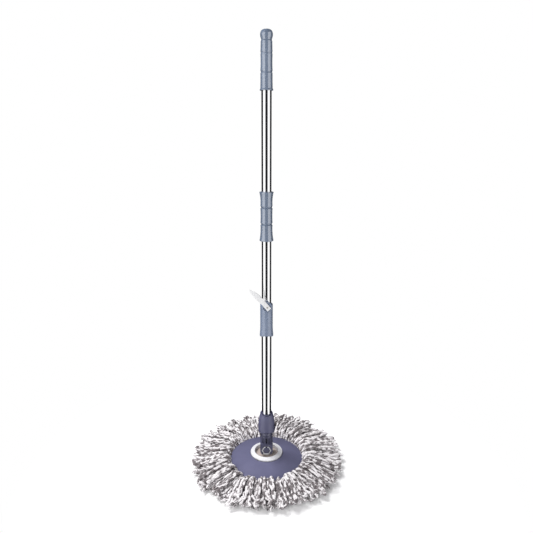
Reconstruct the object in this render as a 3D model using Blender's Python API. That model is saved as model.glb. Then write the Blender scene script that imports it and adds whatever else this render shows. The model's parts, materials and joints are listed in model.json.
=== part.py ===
"""Spin mop with a telescopic hand-press pole, modelled in metres with +Z up.

The mop stands on its yarn, with the origin on the floor under the centre of the head. The head spins about Z on a
turntable, the pole tilts left and right about Y on a hexagonal knuckle, and the upper pole slides down into the
lower tube, which turns a twisted drive bar. Front is -Y.
"""

import math

import bmesh
import bpy
from mathutils import Matrix, Vector

GAP = 0.0003  # between pieces that touch
RUN = 0.0005  # round a bearing surface

# Tubes
UPPER_TUBE_R = 0.0100
TUBE_WALL = 0.0004
LOWER_TUBE_R = UPPER_TUBE_R + GAP + TUBE_WALL
UPPER_BORE_R = UPPER_TUBE_R - TUBE_WALL
UPPER_INSIDE_R = UPPER_BORE_R - GAP
SPIGOT_R = LOWER_TUBE_R - TUBE_WALL - GAP
LOWER_TUBE_RESERVE = 0.0234  # left between the clutch and the drive nut at full press
TOP_TUBE_LENGTH = 0.3240
TELESCOPE_OVERLAP = 0.0820  # upper tube inside the lower one at rest
STROKE = 0.126
STROKE_STOP = 0.0026  # left between the middle grip and the lever's boss at full press

# Turntable
DRUM_R = 0.0335
DRUM_DEPTH = 0.0147
FLANGE_R = DRUM_R + 0.0028
FLANGE_T = 0.0030
FLANGE_LEDGE = 0.0030
RING_RISE = 0.0028  # of the ring's inner edge above its ledge
RECESS_R = DRUM_R - 0.0070
RECESS_DEPTH = 0.0075  # below the ledge
BEARING_WALL = 0.0026
WASHER_T = 0.0017
RETAINER_T = 0.0021
RETAINER_BORE_R = DRUM_R - 0.0175
RETAINER_SCREWS = 3
RETAINER_SCREW_CIRCLE_R = DRUM_R - 0.0095
CAP_T = 0.0020
BORE_R = DRUM_R + RUN
BEARING_R = BORE_R + BEARING_WALL
RETAINER_R = BEARING_R + 0.0007
SOCKET_BORE_R = RETAINER_R + RUN
SOCKET_R = SOCKET_BORE_R + 0.0021
SNAP_BEAD = 0.0012

# Disc cover
DISC_R = 0.083
DISC_RIM_T = 0.0034
DISC_RISE = 0.0125
DISC_WALL = 0.0024
LAND_R = FLANGE_R + 0.0012

# Yarn and refill
YARN_R = 0.172
YARN_INNER_R = SOCKET_R + SNAP_BEAD + 0.0039
YARN_UNDER_PLATE = 0.0120
YARN_HEIGHT = 0.0290
REFILL_R = DISC_R - 0.0040
REFILL_T = 0.0050

# Knuckle
PIVOT_RISE = 0.0095  # above the flange's ledge
HEX_R = 0.0105
HEX_HALF_LENGTH = 0.0135
HEX_WALL = 0.0016
HEX_RECESS = 0.0030
STEM_X = HEX_R + 0.0005
STEM_Y = HEX_R - 0.0011
AXLE_R = 0.0030

# Yoke
JAW_WALL = 0.0034
JAW_HALF_DEPTH = HEX_HALF_LENGTH - 0.0001
JAW_OPENING = math.radians(80)
JAW_BORE_R = HEX_R + GAP
JAW_R = JAW_BORE_R + JAW_WALL
NECK_R = LOWER_TUBE_R + 0.0027
NECK_TOP_RISE = 0.0355  # above the knuckle's axis
SHOULDER_R = LOWER_TUBE_R + 0.0015
SHOULDER_T = 0.0062
SPIGOT_LENGTH = 0.038
SLIT_HALF = 0.0021
PANEL_X = (0.0041, 0.0098)
PANEL_DEPTH = 0.0052

# Collar
COLLAR_LENGTH = 0.0470
COLLAR_BORE_R = LOWER_TUBE_R + GAP
COLLAR_RIM_R = COLLAR_BORE_R + 0.0024
COLLAR_R = COLLAR_RIM_R + 0.0054
COLLAR_FOOT_R = COLLAR_R - 0.0022
COLLAR_SCREW_SHARE = 0.40  # of the collar's length
COLLAR_SCREW_SEAT_R = COLLAR_RIM_R + 0.0004
COLLAR_SCREW_TIP_R = SPIGOT_R - 0.0032
SCREW_R = 0.0016
SCREW_HEAD_R = 0.0030
SCREW_HEAD_T = 0.0016

# Drive
BAR_WIDTH = 0.0080
BAR_T = 0.0016
BAR_PAST_NUT = 0.0234
BAR_LEAD = 0.100
BAR_ROOT = 0.0080  # straight stretch held in the clutch
CLUTCH_LENGTH = 0.0195
CLUTCH_R = SPIGOT_R
CLUTCH_BORE_R = BAR_WIDTH / 2 + 0.0034
CLUTCH_FLOOR_T = 0.0035
CLUTCH_HUB_DROP = 0.0015
NUT_LENGTH = 0.0180
NUT_FLANGE_T = 0.0040
NUT_ROOM = 0.0009
GUIDE_LENGTH = 0.0080

# Lock sleeve and lever
SLEEVE_BORE_R = LOWER_TUBE_R + GAP
SLEEVE_R = SLEEVE_BORE_R + 0.0024
SLEEVE_FLARE_R = SLEEVE_R + 0.0009
SLEEVE_LENGTH = 0.0728
SLEEVE_OVER_TUBE = 0.0605
SLEEVE_LIP_T = 0.0030
BUSH_LENGTH = 0.0033
BUSH_BORE_R = UPPER_TUBE_R + GAP
BUSH_R = BUSH_BORE_R + 0.0014
BUSH_SEAT_R = BUSH_R + GAP
BOSS_R = 0.0103
BOSS_PROUD = 0.0022
EAR_R = BOSS_R - 0.0004
EAR_WALL = 0.0014
EAR_HEIGHT = 0.0028
EAR_SINK = 0.0010
LEVER_OFFSET_X = 0.0018
LEVER_DROP = 0.0028  # of its pivot below the sleeve's top
LEVER_LENGTH = 0.0530
LEVER_BACK = 0.0066
LEVER_WIDTH = 0.0100
LEVER_T = 0.0046
LEVER_ANGLE = math.radians(40)  # from vertical, when open
LEVER_PIN_R = 0.0016
LEVER_PIN_SEAT_R = BUSH_SEAT_R + 0.0012
LOCK_PIN_R = 0.0015
LOCK_PIN_DROP = 0.0055
LOCK_PIN_TRAVEL = 0.0010
LOCK_PIN_STOP = 0.0007  # left between the pin and the upper tube when pushed in

# Grips
GRIP_BORE_R = UPPER_TUBE_R + GAP
MIDDLE_GRIP_LENGTH = 0.0998
MIDDLE_GRIP_R = GRIP_BORE_R + 0.0017
MIDDLE_GRIP_GROOVE_R = GRIP_BORE_R + 0.0006
MIDDLE_GRIP_FLARE_R = MIDDLE_GRIP_R + 0.0022
MIDDLE_GRIP_BELOW_JOINT = 0.0498
COUPLING_LENGTH = 0.0200
COUPLING_FLANGE_T = 0.0016
THREAD_R = UPPER_INSIDE_R - 0.0044
THREAD_DEPTH = 0.0009
TOP_GRIP_LENGTH = 0.1085
TOP_GRIP_R = GRIP_BORE_R + 0.0006
TOP_GRIP_GROOVE_R = GRIP_BORE_R + 0.0004
TOP_GRIP_FLARE_R = TOP_GRIP_R + 0.0021
TOP_KNOB_R = TOP_GRIP_R + 0.0009
TOP_KNOB_NECK_R = TOP_GRIP_R - 0.0011
TOP_KNOB_LENGTH = 0.0210
TOP_KNOB_DOME = 0.0100
GRIP_OVER_END = 0.0910
PLUG_LENGTH = 0.0200
PLUG_FLANGE_T = 0.0020

FINE = 40
ROUND = 24
SMALL = 16

# Heights that follow from the sizes above
REFILL_Z = YARN_UNDER_PLATE + GAP
DISC_Z = REFILL_Z + REFILL_T + 0.0007
DISC_TOP_Z = DISC_Z + DISC_RIM_T + DISC_RISE
SOCKET_Z = REFILL_Z - 0.0023
FLANGE_Z = DISC_TOP_Z + GAP
LEDGE_Z = FLANGE_Z + FLANGE_T
RING_TOP_Z = LEDGE_Z + RING_RISE
DRUM_Z = FLANGE_Z - DRUM_DEPTH
RECESS_Z = LEDGE_Z - RECESS_DEPTH
RETAINER_Z = DRUM_Z - GAP - RETAINER_T
PIVOT_Z = LEDGE_Z + PIVOT_RISE
NECK_TOP_Z = PIVOT_Z + NECK_TOP_RISE
SHOULDER_TOP_Z = NECK_TOP_Z + SHOULDER_T
SPIGOT_TOP_Z = SHOULDER_TOP_Z + SPIGOT_LENGTH
LOWER_TUBE_Z = SHOULDER_TOP_Z + GAP
LOWER_TUBE_LENGTH = (
    SPIGOT_LENGTH + CLUTCH_LENGTH + LOWER_TUBE_RESERVE + STROKE + NUT_FLANGE_T + TELESCOPE_OVERLAP
)
LOWER_TUBE_TOP_Z = LOWER_TUBE_Z + LOWER_TUBE_LENGTH
COLLAR_Z = LOWER_TUBE_Z
COLLAR_TOP_Z = COLLAR_Z + COLLAR_LENGTH
COLLAR_SCREW_Z = COLLAR_Z + COLLAR_LENGTH * COLLAR_SCREW_SHARE
SLEEVE_Z = LOWER_TUBE_TOP_Z - SLEEVE_OVER_TUBE
SLEEVE_TOP_Z = SLEEVE_Z + SLEEVE_LENGTH
BUSH_TOP_Z = SLEEVE_TOP_Z - SLEEVE_LIP_T
LEVER_Z = SLEEVE_TOP_Z - LEVER_DROP
LOCK_PIN_Z = LEVER_Z - LOCK_PIN_DROP
BOSS_FRONT_Y = -(SLEEVE_R + BOSS_PROUD)
LEVER_BACK_Y = BOSS_FRONT_Y - GAP
CLUTCH_Z = SPIGOT_TOP_Z + GAP
CLUTCH_FLOOR_Z = CLUTCH_Z + CLUTCH_FLOOR_T
CLUTCH_HUB_TOP_Z = CLUTCH_Z + CLUTCH_LENGTH - CLUTCH_HUB_DROP
BAR_Z = CLUTCH_HUB_TOP_Z - BAR_ROOT + GAP
MIDDLE_TUBE_Z = LOWER_TUBE_TOP_Z - TELESCOPE_OVERLAP
BAR_LENGTH = MIDDLE_TUBE_Z + NUT_LENGTH + BAR_PAST_NUT - BAR_Z
MIDDLE_GRIP_Z = LEVER_Z + BOSS_R + STROKE_STOP + STROKE
MIDDLE_GRIP_TOP_Z = MIDDLE_GRIP_Z + MIDDLE_GRIP_LENGTH
JOINT_Z = MIDDLE_GRIP_Z + MIDDLE_GRIP_BELOW_JOINT
JOINT_FACE_Z = JOINT_Z + COUPLING_FLANGE_T
TOP_TUBE_Z = JOINT_Z + 0.0036
TOP_TUBE_TOP_Z = TOP_TUBE_Z + TOP_TUBE_LENGTH
PLUG_TOP_Z = TOP_TUBE_TOP_Z + GAP + PLUG_FLANGE_T
TOP_GRIP_Z = TOP_TUBE_TOP_Z - GRIP_OVER_END + 0.0065
TOP_GRIP_TOP_Z = TOP_GRIP_Z + TOP_GRIP_LENGTH

BLUE = (0.235, 0.295, 0.400)
DISC_BLUE = (0.185, 0.190, 0.300)
YOKE_BLUE = (0.055, 0.055, 0.100)


def clear_scene():
    for obj in list(bpy.data.objects):
        bpy.data.objects.remove(obj, do_unlink=True)


def material(name, colour, roughness=0.45, metallic=0.0):
    made = bpy.data.materials.new(name)
    made.use_nodes = True
    shader = made.node_tree.nodes["Principled BSDF"]
    shader.inputs["Base Color"].default_value = (*colour, 1.0)
    shader.inputs["Roughness"].default_value = roughness
    shader.inputs["Metallic"].default_value = metallic
    return made


def empty(name, at, parent=None):
    made = bpy.data.objects.new(name, None)
    bpy.context.scene.collection.objects.link(made)
    made.empty_display_size = 0.02
    place(made, at, parent)
    return made


def world_location(obj):
    return obj.location + (world_location(obj.parent) if obj.parent else Vector())


def place(obj, at, parent=None):
    """Puts an object at a point given in world space, under its parent."""
    obj.parent = parent
    obj.location = Vector(at) - (world_location(parent) if parent else Vector())


def mesh_object(name, bm, finish=None):
    """Turns a bmesh into an object, with its faces pointing out and its round sides smooth."""
    bmesh.ops.recalc_face_normals(bm, faces=bm.faces)
    mesh = bpy.data.meshes.new(name)
    bm.to_mesh(mesh)
    bm.free()
    mesh.shade_smooth()
    mesh.set_sharp_from_angle(angle=math.radians(35))
    if finish:
        mesh.materials.append(finish)
    made = bpy.data.objects.new(name, mesh)
    bpy.context.scene.collection.objects.link(made)
    return made


def turned(name, outline, finish=None, segments=ROUND):
    """Spins a closed outline of (radius, height) points about Z. A point at radius 0 becomes a pole."""
    bm = bmesh.new()
    points = [bm.verts.new((radius, 0.0, height)) for radius, height in outline]
    edges = [bm.edges.new(pair) for pair in zip(points, points[1:] + points[:1])]
    bmesh.ops.spin(
        bm, geom=points + edges, axis=(0, 0, 1), cent=(0, 0, 0), angle=math.tau, steps=segments, use_merge=True
    )
    bmesh.ops.remove_doubles(bm, verts=bm.verts, dist=1e-6)
    on_axis = [e for e in bm.edges if all(abs(v.co.x) + abs(v.co.y) < 1e-6 for v in e.verts)]
    bmesh.ops.delete(bm, geom=on_axis, context="EDGES")
    return mesh_object(name, bm, finish)


def tube(name, outer, inner, bottom, top, finish=None, segments=ROUND):
    return turned(name, [(inner, bottom), (outer, bottom), (outer, top), (inner, top)], finish, segments)


def rod(name, radius, bottom, top, finish=None, segments=ROUND):
    return turned(name, [(0, bottom), (radius, bottom), (radius, top), (0, top)], finish, segments)


def extruded(name, outline, depth, finish=None, bevel=0.0):
    """Extrudes an outline of (x, z) points by depth along Y, centred on Y = 0."""
    bm = bmesh.new()
    face = bm.faces.new([bm.verts.new((x, -depth / 2, z)) for x, z in outline])
    new = bmesh.ops.extrude_face_region(bm, geom=[face])["geom"]
    bmesh.ops.translate(bm, verts=[v for v in new if isinstance(v, bmesh.types.BMVert)], vec=(0, depth, 0))
    if bevel:
        rims = [e for e in bm.edges if abs(e.verts[0].co.y - e.verts[1].co.y) < 1e-7]
        bmesh.ops.bevel(bm, geom=rims, offset=bevel, segments=2, profile=0.5, affect="EDGES")
    return mesh_object(name, bm, finish)


def block(name, x, y, z, finish=None):
    """A box between (low, high) pairs."""
    bm = bmesh.new()
    bmesh.ops.create_cube(bm, size=1.0)
    size = (x[1] - x[0], y[1] - y[0], z[1] - z[0])
    middle = ((x[0] + x[1]) / 2, (y[0] + y[1]) / 2, (z[0] + z[1]) / 2)
    bmesh.ops.transform(bm, matrix=Matrix.Translation(middle) @ Matrix.Diagonal((*size, 1.0)), verts=bm.verts)
    return mesh_object(name, bm, finish)


def cross_rod(name, radius, front, back, x=0.0, z=0.0, finish=None, segments=SMALL):
    """A rod along Y from y = front to y = back."""
    made = rod(name, radius, 0.0, back - front, finish, segments)
    made.data.transform(Matrix.Translation((x, front, z)) @ Matrix.Rotation(-math.pi / 2, 4, "X"))
    return made


def arc(radius, start, end, steps, x=0.0, z=0.0):
    """Points on an arc in the XZ plane, from one angle to another."""
    angles = [start + (end - start) * i / steps for i in range(steps + 1)]
    return [(x + radius * math.cos(a), z + radius * math.sin(a)) for a in angles]


def combine(obj, other, operation="DIFFERENCE"):
    """Adds a Boolean and keeps the other object only as its hidden operand."""
    other.hide_render = True
    other.display_type = "WIRE"
    other.name = f"{obj.name}_{operation.lower()}_{len(obj.modifiers) + 1}"
    place(other, world_location(obj), obj)
    step = obj.modifiers.new(other.name, "BOOLEAN")
    step.operation = operation
    step.object = other
    return obj


# ---------------------------------------------------------------- mop head


def yarn_ring(finish):
    """The refill's yarn as one soft ring: flat below, thin under the refill plate, full outside the disc."""
    inside = DISC_R + 0.0012
    side = REFILL_R + 0.0006
    lap = DISC_Z - 0.0010
    outline = [
        (YARN_INNER_R, 0.0),
        (YARN_R - 0.010, 0.0),
        (YARN_R - 0.002, 0.0030),
        (YARN_R, YARN_HEIGHT * 0.34),
        (YARN_R - 0.006, YARN_HEIGHT * 0.58),
        (YARN_R - 0.030, YARN_HEIGHT * 0.86),
        (inside + 0.030, YARN_HEIGHT),
        (inside + 0.012, YARN_HEIGHT * 0.93),
        (inside, lap + 0.0030),
        (inside, lap),
        (side, lap),
        (side, YARN_UNDER_PLATE),
        (YARN_INNER_R, YARN_UNDER_PLATE),
    ]
    return turned("yarn_ring", outline, finish, FINE)


def refill_plate(finish):
    """Plastic ring that the yarn is sewn to. It snaps over the bead of the disc's socket."""
    return tube("refill_plate", REFILL_R, SOCKET_R + GAP, REFILL_Z, REFILL_Z + REFILL_T, finish, FINE)


def mop_disc(finish):
    """Domed cover with a bearing seat in the middle and a socket below for the refill plate."""
    seat_r = BEARING_R + GAP
    ledge_z = RETAINER_Z + RETAINER_T + GAP
    steps = 8
    span = DISC_R - 0.0012 - LAND_R
    dome = [
        (LAND_R + span * i / steps, DISC_Z + DISC_RIM_T + DISC_RISE * (1 - (i / steps) ** 1.6))
        for i in range(steps + 1)
    ]
    under = [(r, z - DISC_WALL) for r, z in dome if SOCKET_R + 0.004 < r < DISC_R - 0.006]
    outline = [
        (seat_r, ledge_z),
        (seat_r, DISC_TOP_Z),
        *dome,
        (DISC_R, DISC_Z + DISC_RIM_T * 0.6),
        (DISC_R, DISC_Z),
        (DISC_R - 0.0030, DISC_Z),
        *reversed(under),
        (SOCKET_R, under[0][1]),
        (SOCKET_R, SOCKET_Z + 0.0020),
        (SOCKET_R + SNAP_BEAD, SOCKET_Z + 0.0012),
        (SOCKET_R + SNAP_BEAD * 0.5, SOCKET_Z),
        (SOCKET_BORE_R, SOCKET_Z),
        (SOCKET_BORE_R, ledge_z),
    ]
    return turned("mop_disc", outline, finish, FINE)


def bearing_ring(finish):
    return tube("bearing_ring", BEARING_R, BORE_R, DRUM_Z + GAP, DISC_TOP_Z - 0.0004, finish, FINE)


def base_cap(finish):
    """Closes the socket from below."""
    bottom = SOCKET_Z + 0.0002
    return rod("base_cap", SOCKET_BORE_R - GAP, bottom, bottom + CAP_T, finish, FINE)


# ---------------------------------------------------------------- turntable


def hexagon(radius):
    return [(radius * math.cos(k * math.pi / 3), radius * math.sin(k * math.pi / 3)) for k in range(6)]


def turntable(finish):
    """Flanged drum with a raised ring, round a recess in which the hexagonal knuckle stands on its stem."""
    outline = [
        (0.0, DRUM_Z),
        (DRUM_R, DRUM_Z),
        (DRUM_R, FLANGE_Z),
        (FLANGE_R, FLANGE_Z),
        (FLANGE_R, LEDGE_Z - 0.0009),
        (FLANGE_R - 0.0009, LEDGE_Z),
        (FLANGE_R - FLANGE_LEDGE, LEDGE_Z),
        (RECESS_R + 0.0014, RING_TOP_Z),
        (RECESS_R, RING_TOP_Z - 0.0008),
        (RECESS_R, RECESS_Z),
        (0.0, RECESS_Z),
    ]
    made = turned("turntable", outline, finish, FINE)
    stem = block(
        "stem",
        (-STEM_X / 2, STEM_X / 2),
        (-STEM_Y / 2, STEM_Y / 2),
        (RECESS_Z - 0.001, PIVOT_Z - HEX_R * 0.5),
    )
    head = extruded("head", hexagon(HEX_R), 2 * HEX_HALF_LENGTH)
    head.data.transform(Matrix.Translation((0, 0, PIVOT_Z)))
    combine(made, stem, "UNION")
    combine(made, head, "UNION")
    for side in (-1, 1):
        pocket = extruded("pocket", hexagon(HEX_R - HEX_WALL), 2 * HEX_RECESS)
        pocket.data.transform(Matrix.Translation((0, side * HEX_HALF_LENGTH, PIVOT_Z)))
        combine(made, pocket)
    combine(made, cross_rod("bore", AXLE_R + GAP, -HEX_HALF_LENGTH, HEX_HALF_LENGTH, 0.0, PIVOT_Z))
    for x, y in retainer_screw_places():
        hole = rod("hole", SCREW_R + GAP, DRUM_Z - 0.001, RECESS_Z - 0.0012, segments=SMALL)
        hole.data.transform(Matrix.Translation((x, y, 0)))
        combine(made, hole)
    return made


def turntable_washer(finish):
    """Flat ring lying on the recess floor, round the stem."""
    inner = math.hypot(STEM_X, STEM_Y) / 2 + RUN
    return tube(
        "turntable_washer", RECESS_R - GAP, inner, RECESS_Z + GAP, RECESS_Z + GAP + WASHER_T, finish, FINE
    )


def retainer_screw_places():
    angles = [math.pi / 2 + k * math.tau / RETAINER_SCREWS for k in range(RETAINER_SCREWS)]
    return [(RETAINER_SCREW_CIRCLE_R * math.cos(a), RETAINER_SCREW_CIRCLE_R * math.sin(a)) for a in angles]


def retainer(finish):
    """Ring under the drum, wider than the bearing, which keeps the turntable from pulling out."""
    made = tube("retainer_ring", RETAINER_R, RETAINER_BORE_R, RETAINER_Z, RETAINER_Z + RETAINER_T, finish, FINE)
    for x, y in retainer_screw_places():
        hole = rod("hole", SCREW_R + GAP, RETAINER_Z - 0.001, RETAINER_Z + RETAINER_T + 0.001, segments=SMALL)
        hole.data.transform(Matrix.Translation((x, y, 0)))
        combine(made, hole)
    return made


def retainer_screw(number, finish):
    """Pan-head screw from below through the retainer into the drum."""
    head_z = RETAINER_Z - GAP
    outline = [
        (0.0, head_z - SCREW_HEAD_T),
        (SCREW_HEAD_R * 0.7, head_z - SCREW_HEAD_T),
        (SCREW_HEAD_R, head_z - SCREW_HEAD_T / 2),
        (SCREW_HEAD_R, head_z),
        (SCREW_R, head_z),
        (SCREW_R, RECESS_Z - 0.0016),
        (0.0, RECESS_Z - 0.0016),
    ]
    return turned(f"retainer_screw_{number}", outline, finish, SMALL)


def knuckle_axle(finish):
    end = HEX_HALF_LENGTH - HEX_RECESS + GAP
    return cross_rod("knuckle_axle", AXLE_R, -end, end, 0.0, PIVOT_Z, finish)


def axle_cap(name, side, finish):
    """Hexagonal plug in the end of the knuckle, hollow at the back for the axle's end."""
    made = extruded(name, hexagon(HEX_R - HEX_WALL - GAP), HEX_RECESS - 2 * GAP, finish, bevel=0.0004)
    middle = side * (HEX_HALF_LENGTH - HEX_RECESS / 2)
    made.data.transform(Matrix.Translation((0, middle, PIVOT_Z)))
    reach = HEX_HALF_LENGTH - HEX_RECESS + 2 * GAP + 0.0004
    return combine(made, cross_rod("seat", AXLE_R + GAP, -reach, reach, 0.0, PIVOT_Z))


# ---------------------------------------------------------------- lower pole


def yoke(finish):
    """Neck with two pairs of jaws that hold the knuckle's ends, a shoulder and the spigot for the lower tube."""
    neck_floor = PIVOT_Z + JAW_BORE_R + 0.0030
    outline = [
        (0.0, neck_floor),
        (NECK_R, neck_floor),
        (NECK_R, NECK_TOP_Z - 0.0010),
        (NECK_R - 0.0010, NECK_TOP_Z),
        (SHOULDER_R, NECK_TOP_Z),
        (SHOULDER_R, SHOULDER_TOP_Z),
        (SPIGOT_R, SHOULDER_TOP_Z),
        (SPIGOT_R, SPIGOT_TOP_Z - 0.0012),
        (SPIGOT_R - 0.0012, SPIGOT_TOP_Z),
        (0.0, SPIGOT_TOP_Z),
    ]
    made = turned("yoke", outline, finish)
    tip = JAW_OPENING / 2
    start = -math.pi / 2 + tip
    end = 3 * math.pi / 2 - tip
    top = PIVOT_Z + JAW_BORE_R + 0.0050
    cheek = [
        (JAW_R, top),
        (-JAW_R, top),
        *arc(JAW_R, math.pi, end, 8, 0.0, PIVOT_Z),
        *arc(JAW_BORE_R, end, start, 28, 0.0, PIVOT_Z),
        *arc(JAW_R, start, 0.0, 8, 0.0, PIVOT_Z),
    ]
    combine(made, extruded("cheek", cheek, 2 * JAW_HALF_DEPTH), "UNION")
    slot_y = STEM_Y / 2 + RUN
    slot_top = PIVOT_Z + JAW_BORE_R + 0.0006
    combine(made, block("slot", (-0.03, 0.03), (-slot_y, slot_y), (PIVOT_Z - 0.03, slot_top)))
    for side in (-1, 1):
        face = sorted((side * (NECK_R - 0.0045), side * (NECK_R + 0.004)))
        panel_z = (neck_floor + 0.0030, NECK_TOP_Z - 0.0022)
        combine(made, block("slit", (-SLIT_HALF, SLIT_HALF), face, panel_z))
        for edge in (-1, 1):
            panel_x = sorted(edge * x for x in PANEL_X)
            depth = sorted((side * (NECK_R - PANEL_DEPTH), side * (NECK_R + 0.004)))
            combine(made, block("panel", panel_x, depth, panel_z))
    return combine(made, collar_screw_hole(SCREW_R + GAP))


def collar_screw_hole(radius, start=COLLAR_SCREW_TIP_R - 0.0004):
    return cross_rod("screw_hole", radius, start, COLLAR_R + 0.003, 0.0, COLLAR_SCREW_Z)


def collar(finish):
    """Bell over the foot of the lower tube: it widens almost straight to a rounded bottom edge."""
    widest_z = COLLAR_Z + 0.0040
    lip_z = COLLAR_TOP_Z - 0.0022
    steps = 7
    flank = [
        (
            COLLAR_R - (COLLAR_R - COLLAR_RIM_R - 0.0003) * (i / steps) ** 1.35,
            widest_z + (lip_z - widest_z) * i / steps,
        )
        for i in range(steps + 1)
    ]
    outline = [
        (COLLAR_BORE_R, COLLAR_Z),
        (COLLAR_FOOT_R, COLLAR_Z),
        (COLLAR_R - 0.0007, COLLAR_Z + 0.0012),
        *flank,
        (COLLAR_RIM_R, COLLAR_TOP_Z - 0.0008),
        (COLLAR_RIM_R - 0.0008, COLLAR_TOP_Z),
        (COLLAR_BORE_R, COLLAR_TOP_Z),
    ]
    made = turned("collar", outline, finish)
    combine(made, collar_screw_hole(SCREW_R + GAP))
    return combine(made, collar_screw_hole(SCREW_HEAD_R + GAP, COLLAR_SCREW_SEAT_R))


def collar_screw(finish):
    """Screw from behind, through the collar and the tube into the spigot."""
    reach = COLLAR_SCREW_SEAT_R + GAP - COLLAR_SCREW_TIP_R
    outline = [
        (0.0, 0.0),
        (SCREW_R, 0.0),
        (SCREW_R, reach),
        (SCREW_HEAD_R, reach),
        (SCREW_HEAD_R * 0.8, reach + SCREW_HEAD_T * 0.8),
        (0.0, reach + SCREW_HEAD_T),
    ]
    made = turned("collar_screw", outline, finish, SMALL)
    turn = Matrix.Rotation(-math.pi / 2, 4, "X")
    made.data.transform(Matrix.Translation((0, COLLAR_SCREW_TIP_R, COLLAR_SCREW_Z)) @ turn)
    return made


def lower_tube(finish):
    inner = LOWER_TUBE_R - TUBE_WALL
    made = tube("lower_tube", LOWER_TUBE_R, inner, LOWER_TUBE_Z, LOWER_TUBE_TOP_Z, finish)
    return combine(made, collar_screw_hole(SCREW_R + GAP))


def clutch_housing(finish):
    """Cup of the one-way clutch, in the foot of the lower tube."""
    outline = [
        (0.0, CLUTCH_Z),
        (CLUTCH_R, CLUTCH_Z),
        (CLUTCH_R, CLUTCH_Z + CLUTCH_LENGTH),
        (CLUTCH_BORE_R, CLUTCH_Z + CLUTCH_LENGTH),
        (CLUTCH_BORE_R, CLUTCH_FLOOR_Z),
        (0.0, CLUTCH_FLOOR_Z),
    ]
    return turned("clutch_housing", outline, finish)


def lock_sleeve(finish):
    """Sleeve on the top end of the lower tube, with a boss and a curved ear for the lever."""
    lip = UPPER_TUBE_R + 0.0006
    seat_z = BUSH_TOP_Z - BUSH_LENGTH - GAP
    outline = [
        (SLEEVE_BORE_R, SLEEVE_Z),
        (SLEEVE_FLARE_R - 0.0005, SLEEVE_Z),
        (SLEEVE_FLARE_R, SLEEVE_Z + 0.0005),
        (SLEEVE_FLARE_R - 0.0002, SLEEVE_Z + 0.0060),
        (SLEEVE_R + 0.0001, SLEEVE_Z + 0.0160),
        (SLEEVE_R, SLEEVE_Z + 0.0220),
        (SLEEVE_R, SLEEVE_TOP_Z - 0.0010),
        (SLEEVE_R - 0.0010, SLEEVE_TOP_Z),
        (lip, SLEEVE_TOP_Z),
        (lip, BUSH_TOP_Z + GAP),
        (BUSH_SEAT_R, BUSH_TOP_Z + GAP),
        (BUSH_SEAT_R, seat_z),
        (SLEEVE_BORE_R, seat_z),
    ]
    made = turned("lock_sleeve", outline, finish)
    boss_back = -(BUSH_SEAT_R + 0.0006)
    boss = cross_rod("boss", BOSS_R, BOSS_FRONT_Y, boss_back, LEVER_OFFSET_X, LEVER_Z, segments=ROUND)
    combine(made, boss, "UNION")
    first, last = math.radians(-130), math.radians(50)
    ear = [
        *arc(EAR_R, first, last, 14, LEVER_OFFSET_X, LEVER_Z),
        *arc(EAR_R - EAR_WALL, last, first, 14, LEVER_OFFSET_X, LEVER_Z),
    ]
    wall = extruded("ear", ear, EAR_HEIGHT + EAR_SINK)
    wall.data.transform(Matrix.Translation((0, BOSS_FRONT_Y - EAR_HEIGHT / 2 + EAR_SINK / 2, 0)))
    combine(made, wall, "UNION")
    front = BOSS_FRONT_Y - 2 * EAR_HEIGHT
    pin_hole = cross_rod("pin_hole", LEVER_PIN_R + GAP, front, -LEVER_PIN_SEAT_R, LEVER_OFFSET_X, LEVER_Z)
    combine(made, pin_hole)
    inside = -SLEEVE_BORE_R + 0.0036
    return combine(made, cross_rod("lock_hole", LOCK_PIN_R + GAP, front, inside, LEVER_OFFSET_X, LOCK_PIN_Z))


def guide_bush(finish):
    """Plastic ring that centres the upper pole in the sleeve."""
    return tube("guide_bush", BUSH_R, BUSH_BORE_R, BUSH_TOP_Z - BUSH_LENGTH, BUSH_TOP_Z, finish)


def lever_pin(finish):
    front = LEVER_BACK_Y - LEVER_T - 0.0004
    return cross_rod("lever_pin", LEVER_PIN_R, front, -(LEVER_PIN_SEAT_R + GAP), LEVER_OFFSET_X, LEVER_Z, finish)


# ---------------------------------------------------------------- lock


def lock_lever(finish):
    """Leaf-shaped blade with a square root, made upright and turned to its open angle."""
    half = LEVER_WIDTH / 2
    tip = LEVER_LENGTH
    outline = [
        (half, -LEVER_BACK),
        (half, tip * 0.42),
        (half * 0.86, tip * 0.62),
        (half * 0.30, tip * 0.82),
        (-half * 0.42, tip * 0.96),
        (-half * 0.66, tip),
        (-half * 0.90, tip * 0.98),
        (-half * 1.18, tip * 0.84),
        (-half * 1.24, tip * 0.64),
        (-half * 1.10, tip * 0.40),
        (-half, tip * 0.22),
        (-half, -LEVER_BACK),
    ]
    made = extruded("lock_lever", outline, LEVER_T, finish, bevel=0.0006)
    middle = LEVER_BACK_Y - LEVER_T / 2
    turn = Matrix.Rotation(-LEVER_ANGLE, 4, "Y")
    made.data.transform(Matrix.Translation((LEVER_OFFSET_X, middle, LEVER_Z)) @ turn)
    front, back = LEVER_BACK_Y - 2 * LEVER_T, LEVER_BACK_Y + LEVER_T
    hole = cross_rod("hole", LEVER_PIN_R + GAP, front, back, LEVER_OFFSET_X, LEVER_Z)
    return combine(made, hole)


def lock_pin(finish):
    """Plunger that the lever's root pushes in against the upper tube."""
    front = LEVER_BACK_Y + GAP
    back = -(UPPER_TUBE_R + LOCK_PIN_STOP + LOCK_PIN_TRAVEL)
    return cross_rod("lock_pin", LOCK_PIN_R, front, back, LEVER_OFFSET_X, LOCK_PIN_Z, finish)


# ---------------------------------------------------------------- drive


def twist_at(height):
    """Turn of the bar at a height: none along its root, then one turn for each lead."""
    return math.tau * max(0.0, height - BAR_Z - BAR_ROOT) / BAR_LEAD


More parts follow.
